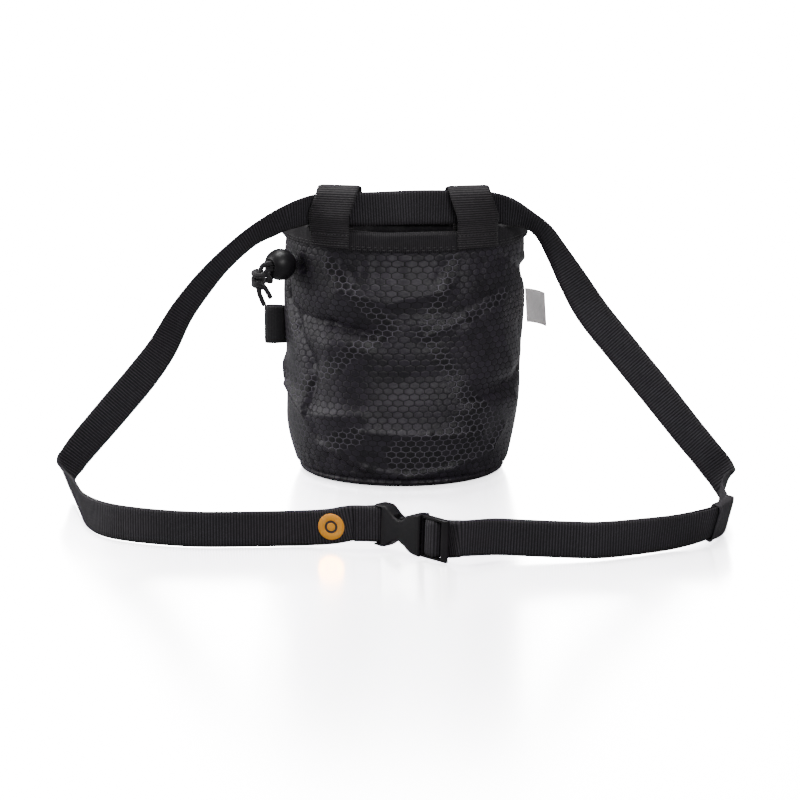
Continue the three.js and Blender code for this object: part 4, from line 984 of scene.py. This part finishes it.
# shares of the reach, of the front and of the width; the edge's direction
LEFT_FLOOR = [
    [0.194, 0.845, 0.09, 0, 0, 1],
    [0.264, 0.836, 0.02, 0, 0, 1],
    [0.428, 0.842, 0, 0, 0, 1],
    [0.592, 0.842, 0, 0, 0, 1],
    [0.758, 0.799, 0, 0, 0, 1],
    [0.851, 0.747, 0, 0, 0, 1],
    [0.913, 0.660, 0, -0.10, 0, 1],
]
LEFT_TURN = [
    [0.45, -2.05, -0.08, -0.16, 0.00, 0.99],
    [0.17, -0.90, -0.06, -0.31, 0.00, 0.95],
    [0.02, -0.30, -0.04, -0.36, -0.04, 0.93],
    [-0.06, 0.00, 0.09, -0.30, -0.18, 0.93],
    [-0.01, 0.17, 0.31, -0.36, -0.32, 0.87],
    [0.15, 0.24, 0.55, -0.47, -0.40, 0.79],
]
LEFT_STRAND = [
    [0.053, 0.14, 0.111, -0.62, -0.38, 0.68],
    [0.181, 0.25, 0.247, -0.70, -0.30, 0.65],
    [0.308, 0.36, 0.383, -0.70, -0.32, 0.64],
    [0.394, 0.45, 0.489, -0.68, -0.48, 0.55],
    [0.475, 0.55, 0.622, -0.58, -0.66, 0.48],
    [0.561, 0.63, 0.728, -0.49, -0.72, 0.49],
    [0.649, 0.70, 0.818, -0.40, -0.78, 0.48],
    [0.776, 0.80, 0.917, -0.30, -0.78, 0.55],
    [0.859, 0.87, 0.959, -0.26, -0.68, 0.68],
    [0.934, 0.92, 0.991, -0.20, -0.60, 0.77],
]
RIGHT_STRAND = [
    [0.050, 0.05, 0.011, 0.22, -0.55, 0.80],
    [0.130, 0.11, 0.040, 0.30, -0.80, 0.52],
    [0.193, 0.16, 0.084, 0.42, -0.80, 0.43],
    [0.254, 0.22, 0.164, 0.54, -0.71, 0.45],
    [0.324, 0.29, 0.265, 0.68, -0.48, 0.55],
    [0.405, 0.38, 0.374, 0.73, -0.22, 0.64],
    [0.553, 0.53, 0.527, 0.73, -0.22, 0.65],
    [0.694, 0.67, 0.670, 0.73, -0.22, 0.65],
    [0.835, 0.80, 0.817, 0.69, -0.28, 0.66],
    [0.920, 0.88, 0.902, 0.61, -0.30, 0.73],
]
RIGHT_TURN = [
    [-0.11, 0.24, 0.22, 0.44, -0.22, 0.87],
    [0.00, 0.05, -0.02, 0.34, -0.06, 0.94],
    [-0.05, -0.30, -0.07, 0.24, -0.02, 0.97],
    [-0.16, -0.85, -0.07, 0.12, 0.00, 0.99],
    [-0.32, -1.85, -0.06, 0.10, -0.18, 0.98],
]
RIGHT_FLOOR = [
    [0.958, 0.718, 0.08, 0.17, -0.36, 0.92],
    [0.937, 0.772, 0.11, 0.17, -0.28, 0.95],
    [0.890, 0.826, 0.11, 0.18, -0.24, 0.95],
    [0.803, 0.868, 0.03, 0.14, -0.16, 0.98],
    [0.690, 0.917, 0.03, 0.06, -0.08, 1],
    [0.570, 0.955, 0.04, 0, 0, 1],
    [0.466, 0.962, 0.08, 0, 0, 1],
    [0.365, 0.962, 0.12, 0, 0, 1],
    [0.275, 0.964, 0.16, 0, 0, 1],
]


def through_loop(centre_turn, across, height, forward):
    place = loop_places(centre_turn, -WALL_THICK / 2, height, np.array([across * LOOP_WIDTH]))[0]
    return np.array([place[0], place[1] - forward, height])


def belt_stations():
    """The belt's stations in order, and the numbers of those that other pieces start from."""
    centres, edges, marked = [], [], {}

    def add(centre, edge=(0, 0, 1)):
        centres.append(np.asarray(centre, float))
        edges.append(unit(np.asarray(edge, float)))

    layer = LAYER_STEP / 2
    bar = on_buckle(SEWN_BAR, 0)
    sewn = [(-15, layer), (-9, layer), (-4.4, SEWN_TURN * 0.72)]
    for degrees in (110, 80, 50, 20, -10, -40, -75, -110):
        angle = math.radians(degrees)
        sewn.append((SEWN_TURN * math.cos(angle), SEWN_TURN * math.sin(angle)))
    sewn += [(-4.4, -SEWN_TURN * 0.72), (-9, -layer), (-16, -layer)]
    for along, out in sewn:
        add(bar + (along, -out, 0), BUCKLE_UP)
    marked["mark"] = len(centres)
    for row in LEFT_FLOOR:
        add((-row[0] * LEFT_REACH, -row[1] * FRONT_FORWARD, STANDING + row[2] * BELT_WIDTH), row[3:])
    for row in LEFT_TURN:
        add(LEFT_CORNER + np.array(row[:3]) * BELT_WIDTH, row[3:])
    exit_left = through_loop(LEFT_LOOP_TURN, -0.85, BELT_CENTRE_HEIGHT - 5.2, 9.2)
    for row in LEFT_STRAND:
        add(LEFT_CORNER + np.array(row[:3]) * (exit_left - LEFT_CORNER), row[3:])
    level = BELT_CENTRE_HEIGHT
    add(through_loop(LEFT_LOOP_TURN, -0.56, level - 2.9, 2.7), (-0.12, -0.42, 0.89))
    add(through_loop(LEFT_LOOP_TURN, 0, level - 2.2, 1.9), (0, -0.26, 0.96))
    add(through_loop(LEFT_LOOP_TURN, 0.56, level - 1.7, 0.8), (0, -0.10, 0.99))
    add(through_loop(LEFT_LOOP_TURN, 1.1, level - 1.0, 0))
    middle = wall_points([0.02], 1, -WALL_THICK / 2)[0]
    add((middle[0], middle[1], level))
    add(through_loop(RIGHT_LOOP_TURN, -0.56, level - 0.5, 0))
    add(through_loop(RIGHT_LOOP_TURN, 0, level - 1.3, 0.9), (0, -0.16, 0.99))
    add(through_loop(RIGHT_LOOP_TURN, 0.56, level - 2, 1.4), (0.10, -0.34, 0.94))
    exit_right = through_loop(RIGHT_LOOP_TURN, 0.8, level - 2.5, 5.5)
    for row in RIGHT_STRAND:
        add(exit_right + np.array(row[:3]) * (RIGHT_CORNER - exit_right), row[3:])
    for row in RIGHT_TURN:
        add(RIGHT_CORNER + np.array(row[:3]) * BELT_WIDTH, row[3:])
    marked["keeper"] = len(centres)
    for row in RIGHT_FLOOR:
        add((row[0] * RIGHT_REACH, -row[1] * FRONT_FORWARD, STANDING + row[2] * BELT_WIDTH), row[3:])
    marked["thread"] = len(centres)
    rise = NEAR_BAR_START - 1.85
    # along the buckle, out of its face, up
    threading = [
        (PLUG_LENGTH + 5, LOAD_DEPTH - 0.1, BELT_WIDTH * 0.12),
        (FAR_BAR - 4, LOAD_DEPTH, 0),
        (rise + 2.4, LOAD_DEPTH + 0.15, 0),
        (rise + 0.55, LOAD_DEPTH + 1.2, 0),
        (rise, LOAD_DEPTH + 3.1, 0),
        (rise, OVER_BAR - 1.75, 0),
        (rise + 0.75, OVER_BAR - 0.45, 0),
        (NEAR_BAR_START + 0.5, OVER_BAR, 0),
        (NEAR_BAR_END, OVER_BAR, 0),
        (NEAR_BAR_END + 1.75, OVER_BAR - 1.05, 0),
        (FAR_BAR - 3.2, OVER_BAR - 2.9, 0),
        (FAR_BAR - 1.8, TAIL_DEPTH + 0.5, 0),
        (FAR_BAR - 0.2, TAIL_DEPTH, 0),
        (PLUG_LENGTH, TAIL_DEPTH, BELT_WIDTH * 0.05),
        (PLUG_LENGTH + 5, TAIL_DEPTH - 0.1, BELT_WIDTH * 0.12),
    ]
    for along, out, high in threading:
        add(on_buckle(along, out, high), BUCKLE_UP)
    return centres, edges, marked


def frame_line(line, edges):
    """The direction along, the upper edge's and the outer face's for every point of a strip's line."""
    along = unit(np.gradient(line, axis=0))
    edge = unit(edges - along * np.sum(edges * along, 1)[:, None])
    return along, edge, unit(np.cross(edge, along))


def trace_stations(centres, edges):
    counts = [max(4, int(np.linalg.norm(b - a) / 0.3)) for a, b in zip(centres, centres[1:])]
    starts = np.concatenate([[0], np.cumsum(counts)])
    return smooth_line(centres, counts), unit(smooth_line(edges, counts, "even")), starts


def trace_belt():
    """The whole belt's line and edge directions, and where along it the mark, keeper and thread lie."""
    centres, edges, marked = belt_stations()
    line, edge_line, starts = trace_stations(centres, edges)
    walked = walked_along(line)
    at = {name: walked[starts[index]] for name, index in marked.items()}
    along, edge, out = frame_line(line, edge_line)
    for distance in np.arange(at["thread"] - 20, at["keeper"] + 13, -8.0):
        k = int(np.searchsorted(walked, distance))
        centres.append(line[k] + out[k] * LAYER_STEP)
        edges.append(edge_line[k])
    whole, whole_edges, starts = trace_stations(centres, edges)
    return whole, whole_edges, at


belt_line, belt_edges, belt_at = trace_belt()
belt_webbing = make_webbing("belt_webbing", BELT_RIB, 0.95, (0.0015, 0.0012, 0.0018), (0.050, 0.044, 0.054))


def add_belt():
    lengths, line, edges = even_steps(belt_line, BELT_RIB / 5, belt_edges)
    along, edge, out = frame_line(line, edges)
    columns = 11
    across = np.linspace(-1, 1, columns)
    thin = edge_thinning(columns)
    half = BELT_THICK / 2 - RIB_INSET + RIB_RISE * np.cos(2 * math.pi * lengths / BELT_RIB)
    grids = []
    for side in (1, -1):
        places = line[:, None] + edge[:, None] * (across * BELT_WIDTH / 2)[None, :, None]
        grids.append(places + out[:, None] * (side * half[:, None] * thin[None])[:, :, None])
    heights = across * BELT_WIDTH / 2
    add_strip("belt_webbing_strip", *grids, lengths, heights, belt_webbing, "webbing", "waist_belt")


def add_belt_stitches():
    middles, alongs, outs = [], [], []
    walked = walked_along(belt_line)
    along, edge, out = frame_line(belt_line, belt_edges)
    for distance in BELT_STITCH_PLACES:
        k = int(np.searchsorted(walked, distance))
        for high in np.linspace(-0.43, 0.43, 9) * BELT_WIDTH:
            middles.append(belt_line[k] + edge[k] * high + out[k] * (BELT_THICK / 2 + 0.08))
            alongs.append(edge[k])
            outs.append(out[k])
    stitches = add_mesh("belt_stitches", *stitch_points(middles, alongs, outs, BELT_STITCH))
    finish_piece(stitches, black_thread, "webbing")


add_belt()
add_belt_stitches()

# The keeper. A short sleeve of woven elastic holds the tail's end against the loaded layer.
KEEPER_LENGTH = 26.0
KEEPER_THICK = 0.8
KEEPER_RIB = 1.25
elastic_weave = make_webbing(
    "elastic_weave", KEEPER_RIB, 0.6, (0.004, 0.0035, 0.0045), (0.062, 0.056, 0.066), bump=0.6)


def add_keeper():
    walked = walked_along(belt_line)
    along, edge, out = frame_line(belt_line, belt_edges)
    low = int(np.searchsorted(walked, belt_at["keeper"]))
    high = int(np.searchsorted(walked, belt_at["keeper"] + KEEPER_LENGTH))
    between_layers = belt_line[low:high] + out[low:high] * LAYER_STEP / 2
    lengths, line, edges = even_steps(between_layers, KEEPER_RIB / 4, belt_edges[low:high])
    along, edge, out = frame_line(line, edges)
    half_high = BELT_WIDTH / 2 + CLEARANCE * 1.1
    half_deep = LAYER_STEP / 2 + BELT_THICK / 2 + CLEARANCE * 1.7
    around = 56
    angles = 2 * math.pi * np.arange(around) / around
    side = np.sign(np.sin(angles)) * np.abs(np.sin(angles)) ** 0.32
    face = np.sign(np.cos(angles)) * np.abs(np.cos(angles)) ** 0.32
    rings, maps = [], []
    for shown in (True, False):
        for k in range(len(line)) if shown else reversed(range(len(line))):
            ribs = 0.08 * math.cos(2 * math.pi * lengths[k] / KEEPER_RIB)
            grow = KEEPER_THICK - RIB_INSET + ribs if shown else 0
            flare = smooth_step(lengths[k] / KEEPER_LENGTH, 0.82, 1.0) * 1.1
            deep = face * (half_deep + grow) + np.where(face > 0, face * flare, 0)
            rings.append(line[k] + out[k] * deep[:, None] + edge[k] * (side * (half_high + grow))[:, None])
            maps.append(np.stack([np.full(around, lengths[k]), angles * 7], -1))
    keeper = add_mesh("belt_keeper_sleeve", np.stack(rings, 1).reshape(-1, 3), ring_faces(around, len(rings)))
    set_weave_map(keeper, np.stack(maps, 1).reshape(-1, 2))
    face_out(keeper)
    finish_piece(keeper, elastic_weave, "elastic", "belt_keeper")


add_keeper()

# The round mark. A small patch embroidered in orange thread on a black ground; its design is a plain
# ring round a dot.
MARK_RADIUS = 7.4


def make_embroidery():
    material, tree, surface = start_material("orange_embroidery", 0.45, sheen=0.2)
    along, across, room = cloth_place(tree)
    orange = put(tree, "ShaderNodeAttribute", attribute_name="orange").outputs["Fac"]
    place = put(tree, "ShaderNodeCombineXYZ", {0: along, 1: across}).outputs[0]
    threads = put(tree, "ShaderNodeTexWave", {"Vector": place, "Scale": 1.1, "Distortion": 0.6}).outputs[1]
    bright = blend_colour(tree, threads, (1.0, 0.30, 0.0, 1), (1.0, 0.45, 0.0, 1))
    ground = blend_colour(tree, threads, (0.006, 0.005, 0.007, 1), (0.022, 0.02, 0.024, 1))
    tree.links.new(blend_colour(tree, orange, ground, bright), surface.inputs["Base Color"])
    set_bump(tree, surface, threads, 0.5, 0.0002)
    return material


def add_mark():
    walked = walked_along(belt_line)
    k = int(np.searchsorted(walked, belt_at["mark"]))
    along, edge, out = (way[k] for way in frame_line(belt_line, belt_edges))
    centre = belt_line[k] + out * (BELT_THICK / 2 + CLEARANCE * 1.8)
    # share of the radius, rise, orange
    profile = [
        (0.00, 0.62, 1),
        (0.15, 0.66, 1),
        (0.30, 0.60, 1),
        (0.33, 0.40, 0),
        (0.47, 0.40, 0),
        (0.50, 0.60, 1),
        (0.72, 0.68, 1),
        (0.95, 0.58, 1),
        (1.00, 0.30, 1),
        (0.99, 0.02, 0),
        (0.40, 0.00, 0),
        (0.00, 0.00, 0),
    ]
    around = 72
    angles = 2 * math.pi * np.arange(around) / around
    rings, maps, shades = [], [], []
    for share, rise, orange in profile:
        level = np.cos(angles)[:, None] * along + np.sin(angles)[:, None] * edge
        rings.append(centre + level * share * MARK_RADIUS + out * rise)
        maps.append(np.stack([angles * 9, np.full(around, share * MARK_RADIUS)], -1))
        shades.append(np.full(around, float(orange)))
    points, faces = np.stack(rings, 1).reshape(-1, 3), []
    count = len(profile)
    for i in range(around):
        for j in range(count - 1):
            row, ahead = i * count + j, (i + 1) % around * count + j
            faces.append((row, ahead, ahead + 1, row + 1))
    mark = add_mesh("belt_mark_patch", points, faces)
    set_weave_map(mark, np.stack(maps, 1).reshape(-1, 2))
    set_shade(mark, "orange", np.stack(shades, 1).ravel())
    work = bmesh.new()
    work.from_mesh(mark.data)
    bmesh.ops.remove_doubles(work, verts=work.verts, dist=1e-6)
    work.to_mesh(mark.data)
    work.free()
    face_out(mark)
    finish_piece(mark, make_embroidery(), "orange_thread", "belt_mark")


add_mark()


# The buckle. Both halves of the side-release buckle are moulded in black acetal, with soft edges
# from the mould and a fine even texture.
def make_moulded_plastic():
    material, tree, surface = start_material("moulded_plastic", 0.36, specular=0.3)
    room = put(tree, "ShaderNodeTexCoord").outputs["Object"]
    grain = put(tree, "ShaderNodeTexNoise", {"Vector": room, "Scale": 1500.0, "Detail": 2.0}).outputs[0]
    wear = use_group(tree, wear_group, {"Place": room, "Patch Size": 60.0})
    colour = blend_colour(tree, wear["Patch"], (0.005, 0.0043, 0.0055, 1), (0.009, 0.0078, 0.0095, 1))
    lint = calc(tree, "MULTIPLY", wear["Lint"], 0.2)
    tree.links.new(blend_colour(tree, lint, colour, (0.06, 0.058, 0.06, 1)), surface.inputs["Base Color"])
    tree.links.new(remap(tree, grain, 0.3, 0.7, 0.34, 0.5), surface.inputs["Roughness"])
    set_bump(tree, surface, grain, 0.25, 0.0001)
    return material


moulded_plastic = make_moulded_plastic()


def add_moulded_copy(name, node, edge_radius):
    """A copy of a moulded node with its flat faces joined up and its edges rounded."""
    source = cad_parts[node]
    mesh = source.data.copy()
    mesh.transform(source.matrix_world)
    mesh.materials.clear()
    work = bmesh.new()
    work.from_mesh(mesh)
    bmesh.ops.remove_doubles(work, verts=work.verts, dist=2e-6)
    bmesh.ops.dissolve_limit(work, angle_limit=math.radians(1.5), verts=work.verts, edges=work.edges)
    sharp = [e for e in work.edges if len(e.link_faces) == 2 and e.calc_face_angle() > math.radians(28)]
    bmesh.ops.bevel(work, geom=sharp, offset=edge_radius * MM, segments=3, profile=0.5, affect="EDGES",
                    clamp_overlap=True)
    bmesh.ops.triangulate(work, faces=[f for f in work.faces if len(f.verts) > 4])
    for face in work.faces:
        face.smooth = True
    work.to_mesh(mesh)
    work.free()
    mesh.set_sharp_from_angle(angle=math.radians(40))
    piece = bpy.data.objects.new(name, mesh)
    scene.collection.objects.link(piece)
    finish_piece(piece, moulded_plastic, "moulded_plastic", node)


add_moulded_copy("buckle_socket_moulding", "buckle_socket", 0.45)
add_moulded_copy("buckle_plug_moulding", "buckle_plug", 0.3)

# The brush loop. Short wide elastic, folded in half, is sewn into the left side seam and stands out
# from the wall.
BRUSH_LOOP_HEIGHT = 22.8
BRUSH_LOOP_REACH = 11.8
BRUSH_LOOP_GAP = 4.8
BRUSH_LOOP_THICK = 1.4
brush_weave = make_webbing(
    "brush_loop_weave", 0.9, 0.8, (0.005, 0.0045, 0.0055), (0.022, 0.0195, 0.024), bump=0.6)


def seam_place(turn, height, out):
    place = wall_points([turn], height, out)[0]
    outward = wall_points([turn], height, out + 1)[0] - place
    outward[2] = 0
    outward = unit(outward)
    return place, outward, np.array([-outward[1], outward[0], 0])


def add_brush_loop():
    place, outward, level = seam_place(-0.5, 0.576, CLEARANCE * 1.7 + BRUSH_LOOP_THICK / 2)
    half = (BRUSH_LOOP_GAP + BRUSH_LOOP_THICK) / 2
    reach = BRUSH_LOOP_REACH - BRUSH_LOOP_THICK / 2 - CLEARANCE
    plan = [(-0.2, 0.32), (0.16, 0.72), (0.40, 1.0), (0.70, 1.0), (0.90, 0.72), (0.985, 0.30)]
    plan += [(out, -side) for out, side in reversed(plan)]
    stations = [place + outward * o * reach + level * s * half for o, s in plan]
    line = smooth_line(stations, [8] * (len(plan) - 1))
    lengths, line = even_steps(line, 0.3)
    edges = np.tile([0.0, 0, 1], (len(line), 1))
    along, edge, out = frame_line(line, edges)
    columns = 19
    across = np.linspace(-1, 1, columns)
    thin = edge_thinning(columns)
    ribs = 0.05 * np.cos(2 * math.pi * across * BRUSH_LOOP_HEIGHT / 2 / 2.4)
    grids = []
    for side in (1, -1):
        places = line[:, None] + edge[:, None] * (across * BRUSH_LOOP_HEIGHT / 2)[None, :, None]
        depth = side * (BRUSH_LOOP_THICK / 2 - 0.06 + ribs) * thin
        grids.append(places + out[:, None] * depth[None, :, None])
    heights = across * BRUSH_LOOP_HEIGHT / 2
    add_strip("brush_loop_elastic", *grids, lengths, heights, brush_weave, "elastic", "brush_loop")


add_brush_loop()

# The side label. A tab of white satin tape, folded once and sewn into the right side seam, left bare
# and drooping a little at its free end.
LABEL_WIDTH = 12.0
LABEL_HEIGHT = 20.5
LABEL_THICK = 0.9


def make_satin():
    material, tree, surface = start_material("white_satin", 0.38, sheen=0.15)
    along, across, room = cloth_place(tree)
    place = put(tree, "ShaderNodeCombineXYZ", {0: along, 1: across}).outputs[0]
    threads = put(tree, "ShaderNodeTexWave", {"Vector": place, "Scale": 1.6, "Distortion": 0.4},
                  bands_direction="Y").outputs[1]
    wear = use_group(tree, wear_group, {"Place": room, "Patch Size": 70.0})
    worn = calc(tree, "MULTIPLY_ADD", wear["Patch"], 0.5, calc(tree, "MULTIPLY", threads, 0.5))
    tree.links.new(blend_colour(tree, worn, (0.88, 0.85, 0.85, 1), (0.97, 0.94, 0.94, 1)),
                   surface.inputs["Base Color"])
    set_bump(tree, surface, threads, 0.4, 0.00015)
    return material


def add_label():
    place, outward, level = seam_place(0.47, 0.659, CLEARANCE * 3.4)
    rows, columns = 33, 25
    lengths = np.linspace(0, 1, rows)
    hands = np.linspace(-0.5, 0.5, columns)
    grids = []
    for side in (1, -1):
        grid = []
        for share in lengths:
            wave = 0.25 * math.sin(share * 5) * np.cos(hands * 6)
            thinned = 0.5 * (max(share - 0.94, 0) / 0.06) ** 2
            thick = side * LABEL_THICK / 2 * (1 - thinned)
            grid.append([place + outward * (share * LABEL_WIDTH - hand * 0.06 * LABEL_HEIGHT)
                         + level * (thick - 1.6 * share * share + ripple)
                         + np.array([0, 0, hand * LABEL_HEIGHT - 0.2 * share * share * LABEL_WIDTH])
                         for hand, ripple in zip(hands, wave)])
        grids.append(np.array(grid))
    ways, heights = lengths * LABEL_WIDTH, hands * LABEL_HEIGHT
    add_strip("side_label_tape", *grids, ways, heights, make_satin(), "white_tape", "side_label")


add_label()

# The cord lock. A turned round bead with a wide bore slides on the two strands of the drawcord and
# rests against the wall.
BEAD_RADIUS = 9.5
BEAD_HOLE_RADIUS = 3.5
CORD_RADIUS = 1.5
BEAD_WAY = unit(np.array([-0.72, -0.69, -0.02]))
CORD_EXIT = wall_points([-0.36], 0.85, CLEARANCE * 3.5)[0]
BEAD_CENTRE = CORD_EXIT + BEAD_WAY * BEAD_RADIUS * 1.02


def tube_points(line, radius, around=14, closed=False):
    """A round tube of points and faces along a line, with its lengths and angles."""
    along = unit(np.gradient(line, axis=0))
    if closed:
        along = unit(np.roll(line, -1, 0) - np.roll(line, 1, 0))
    side = unit(np.cross(along[0], (0.3, 0.2, 1.0)))
    points, values, walked = [], [], walked_along(line)
    angles = 2 * math.pi * np.arange(around) / around
    radii = np.broadcast_to(radius, len(line))
    for k in range(len(line)):
        side = unit(side - along[k] * (side @ along[k]))
        other = np.cross(along[k], side)
        rays = np.cos(angles)[:, None] * side + np.sin(angles)[:, None] * other
        points += list(line[k] + rays * radii[k])
        values += [(walked[k], angle) for angle in angles]
    faces, rows = [], len(line)
    for i in range(rows if closed else rows - 1):
        for j in range(around):
            a, b = i * around + j, i * around + (j + 1) % around
            c, d = (i + 1) % rows * around + (j + 1) % around, (i + 1) % rows * around + j
            faces.append((a, d, c, b))
    if not closed:
        faces.append(tuple(range(around)))
        faces.append(tuple((rows - 1) * around + j for j in reversed(range(around))))
    return points, faces, values


def add_bead():
    flat = math.sqrt(BEAD_RADIUS ** 2 - (BEAD_HOLE_RADIUS + 1) ** 2)
    start = math.asin(-flat / BEAD_RADIUS)
    profile = [(BEAD_HOLE_RADIUS, -flat + 1.2), (BEAD_HOLE_RADIUS + 0.25, -flat + 0.35)]
    for k in range(41):
        angle = start - 2 * start * k / 40
        profile.append((BEAD_RADIUS * math.cos(angle), BEAD_RADIUS * math.sin(angle)))
    profile += [
        (BEAD_HOLE_RADIUS + 0.25, flat - 0.35),
        (BEAD_HOLE_RADIUS, flat - 1.2),
        (BEAD_HOLE_RADIUS, 0),
    ]
    side = unit(np.cross(BEAD_WAY, (0, 0, 1)))
    other = np.cross(side, BEAD_WAY)
    around = 64
    points = []
    for k in range(around):
        angle = 2 * math.pi * k / around
        ray = side * math.cos(angle) + other * math.sin(angle)
        points += [BEAD_CENTRE + ray * reach + BEAD_WAY * rise for reach, rise in profile]
    bead = add_mesh("cord_lock_bead_turned", points, ring_faces(around, len(profile)))
    face_out(bead)
    finish_piece(bead, moulded_plastic, "moulded_plastic", "cord_lock_bead")
    return bead


bead = add_bead()

# The drawcord. Thin braided cord: two strands leave the wall, pass the bead and meet in an overhand
# knot, with two cut ends hanging below it.
KNOT_RADIUS = 2.7
KNOT_CENTRE = BEAD_CENTRE + np.array([-12.8, -7.6, -7.8])


def make_braid():
    material, tree, surface = start_material("braided_cord", 0.6, sheen=0.25, specular=0.35)
    along, turn, room = cloth_place(tree)
    ways = []
    for strands in (4.0, -4.0):
        twist = calc(tree, "MULTIPLY", turn, strands)
        ways.append(calc(tree, "SINE", calc(tree, "MULTIPLY_ADD", along, 3.6, twist)))
    braid = remap(tree, calc(tree, "MULTIPLY", *ways), -0.8, 0.9)
    wear = use_group(tree, wear_group, {"Place": room, "Patch Size": 80.0})
    # The braid's colour carries painted shade, dark where the strands dip and light on their crests, with
    # worn patches varying it.
    painted_shade_and_wear = calc(tree, "MULTIPLY", braid, remap(tree, wear["Patch"], 0.0, 1.0, 0.7, 1.0))
    tree.links.new(blend_colour(tree, painted_shade_and_wear, (0.0035, 0.003, 0.004, 1), (0.022, 0.0195, 0.0235, 1)),
                   surface.inputs["Base Color"])
    set_bump(tree, surface, braid, 0.8, 0.00025)
    return material


braided_cord = make_braid()


def add_knot():
    points, faces, values = [], [], []
    # the tilt, lean and rise of each turn of the cord
    rings = [(0.35, 0.15, 3.5), (1.2, 0.5, 0.0), (-0.45, 0.3, -3.5)]
    angles = 2 * math.pi * np.arange(60) / 60
    for tilt, lean, rise in rings:
        y = KNOT_RADIUS * np.sin(angles)
        x, z = KNOT_RADIUS * np.cos(angles), y * math.sin(tilt)
        y = y * math.cos(tilt)
        x, z = x * math.cos(lean) + z * math.sin(lean), z * math.cos(lean) - x * math.sin(lean)
        ring = KNOT_CENTRE + np.stack([x, y, z + rise], -1)
        more, more_faces, more_values = tube_points(ring, CORD_RADIUS * 1.12, 16, True)
        faces += [tuple(len(points) + k for k in face) for face in more_faces]
        points += more
        values += more_values
    knot = add_mesh("drawcord_knot", points, faces)
    set_weave_map(knot, values)
    face_out(knot)
    finish_piece(knot, braided_cord, "cord", "cord_knot")
    return knot


def add_strand(name, stations, nodes):
    line = smooth_line(stations, [24] * (len(stations) - 1), "even")
    lengths, line = even_steps(line, 0.35)
    fray = np.where(lengths > lengths[-1] - 0.5, 0.9, 1.0)
    points, faces, values = tube_points(line, CORD_RADIUS * fray, 16)
    strand = add_mesh(name, points, faces)
    set_weave_map(strand, values)
    face_out(strand)
    finish_piece(strand, braided_cord, "cord", *nodes)


def add_drawcord():
    knot = add_knot()
    step = np.array([0, 0, CORD_RADIUS + CLEARANCE * 0.8])
    near, far = BEAD_CENTRE + BEAD_WAY * BEAD_RADIUS * 0.6, BEAD_CENTRE + BEAD_WAY * BEAD_RADIUS * 1.13
    # steps from the knot's centre
    long_steps = [(2, 1, 7.2), (0.2, 0, 0), (0.4, -0.4, -7.1), (1.8, 0.2, -11.6), (3.4, 1, -15.6)]
    short_steps = [(7.4, 4.4, -1.6), (4, 2, -1), (2.4, 0.2, -2.6)]
    short_steps += [(4.2, -0.7, -5.2), (6, -0.2, -8.4), (7.2, 0.4, -11.2)]
    long_route = [CORD_EXIT + step, BEAD_CENTRE + step, near + step, far + step]
    long_route += [KNOT_CENTRE + way for way in long_steps]
    short_route = [CORD_EXIT - step, BEAD_CENTRE - step, near - step, far - step * 1.2]
    short_route += [BEAD_CENTRE + (-7.7, -6.2, -5.6), *(KNOT_CENTRE + way for way in short_steps)]
    add_strand("drawcord_strand_long", long_route, ["drawcord_upper", "cord_end_long"])
    add_strand("drawcord_strand_short", short_route, ["drawcord_lower", "cord_end_short"])


add_drawcord()
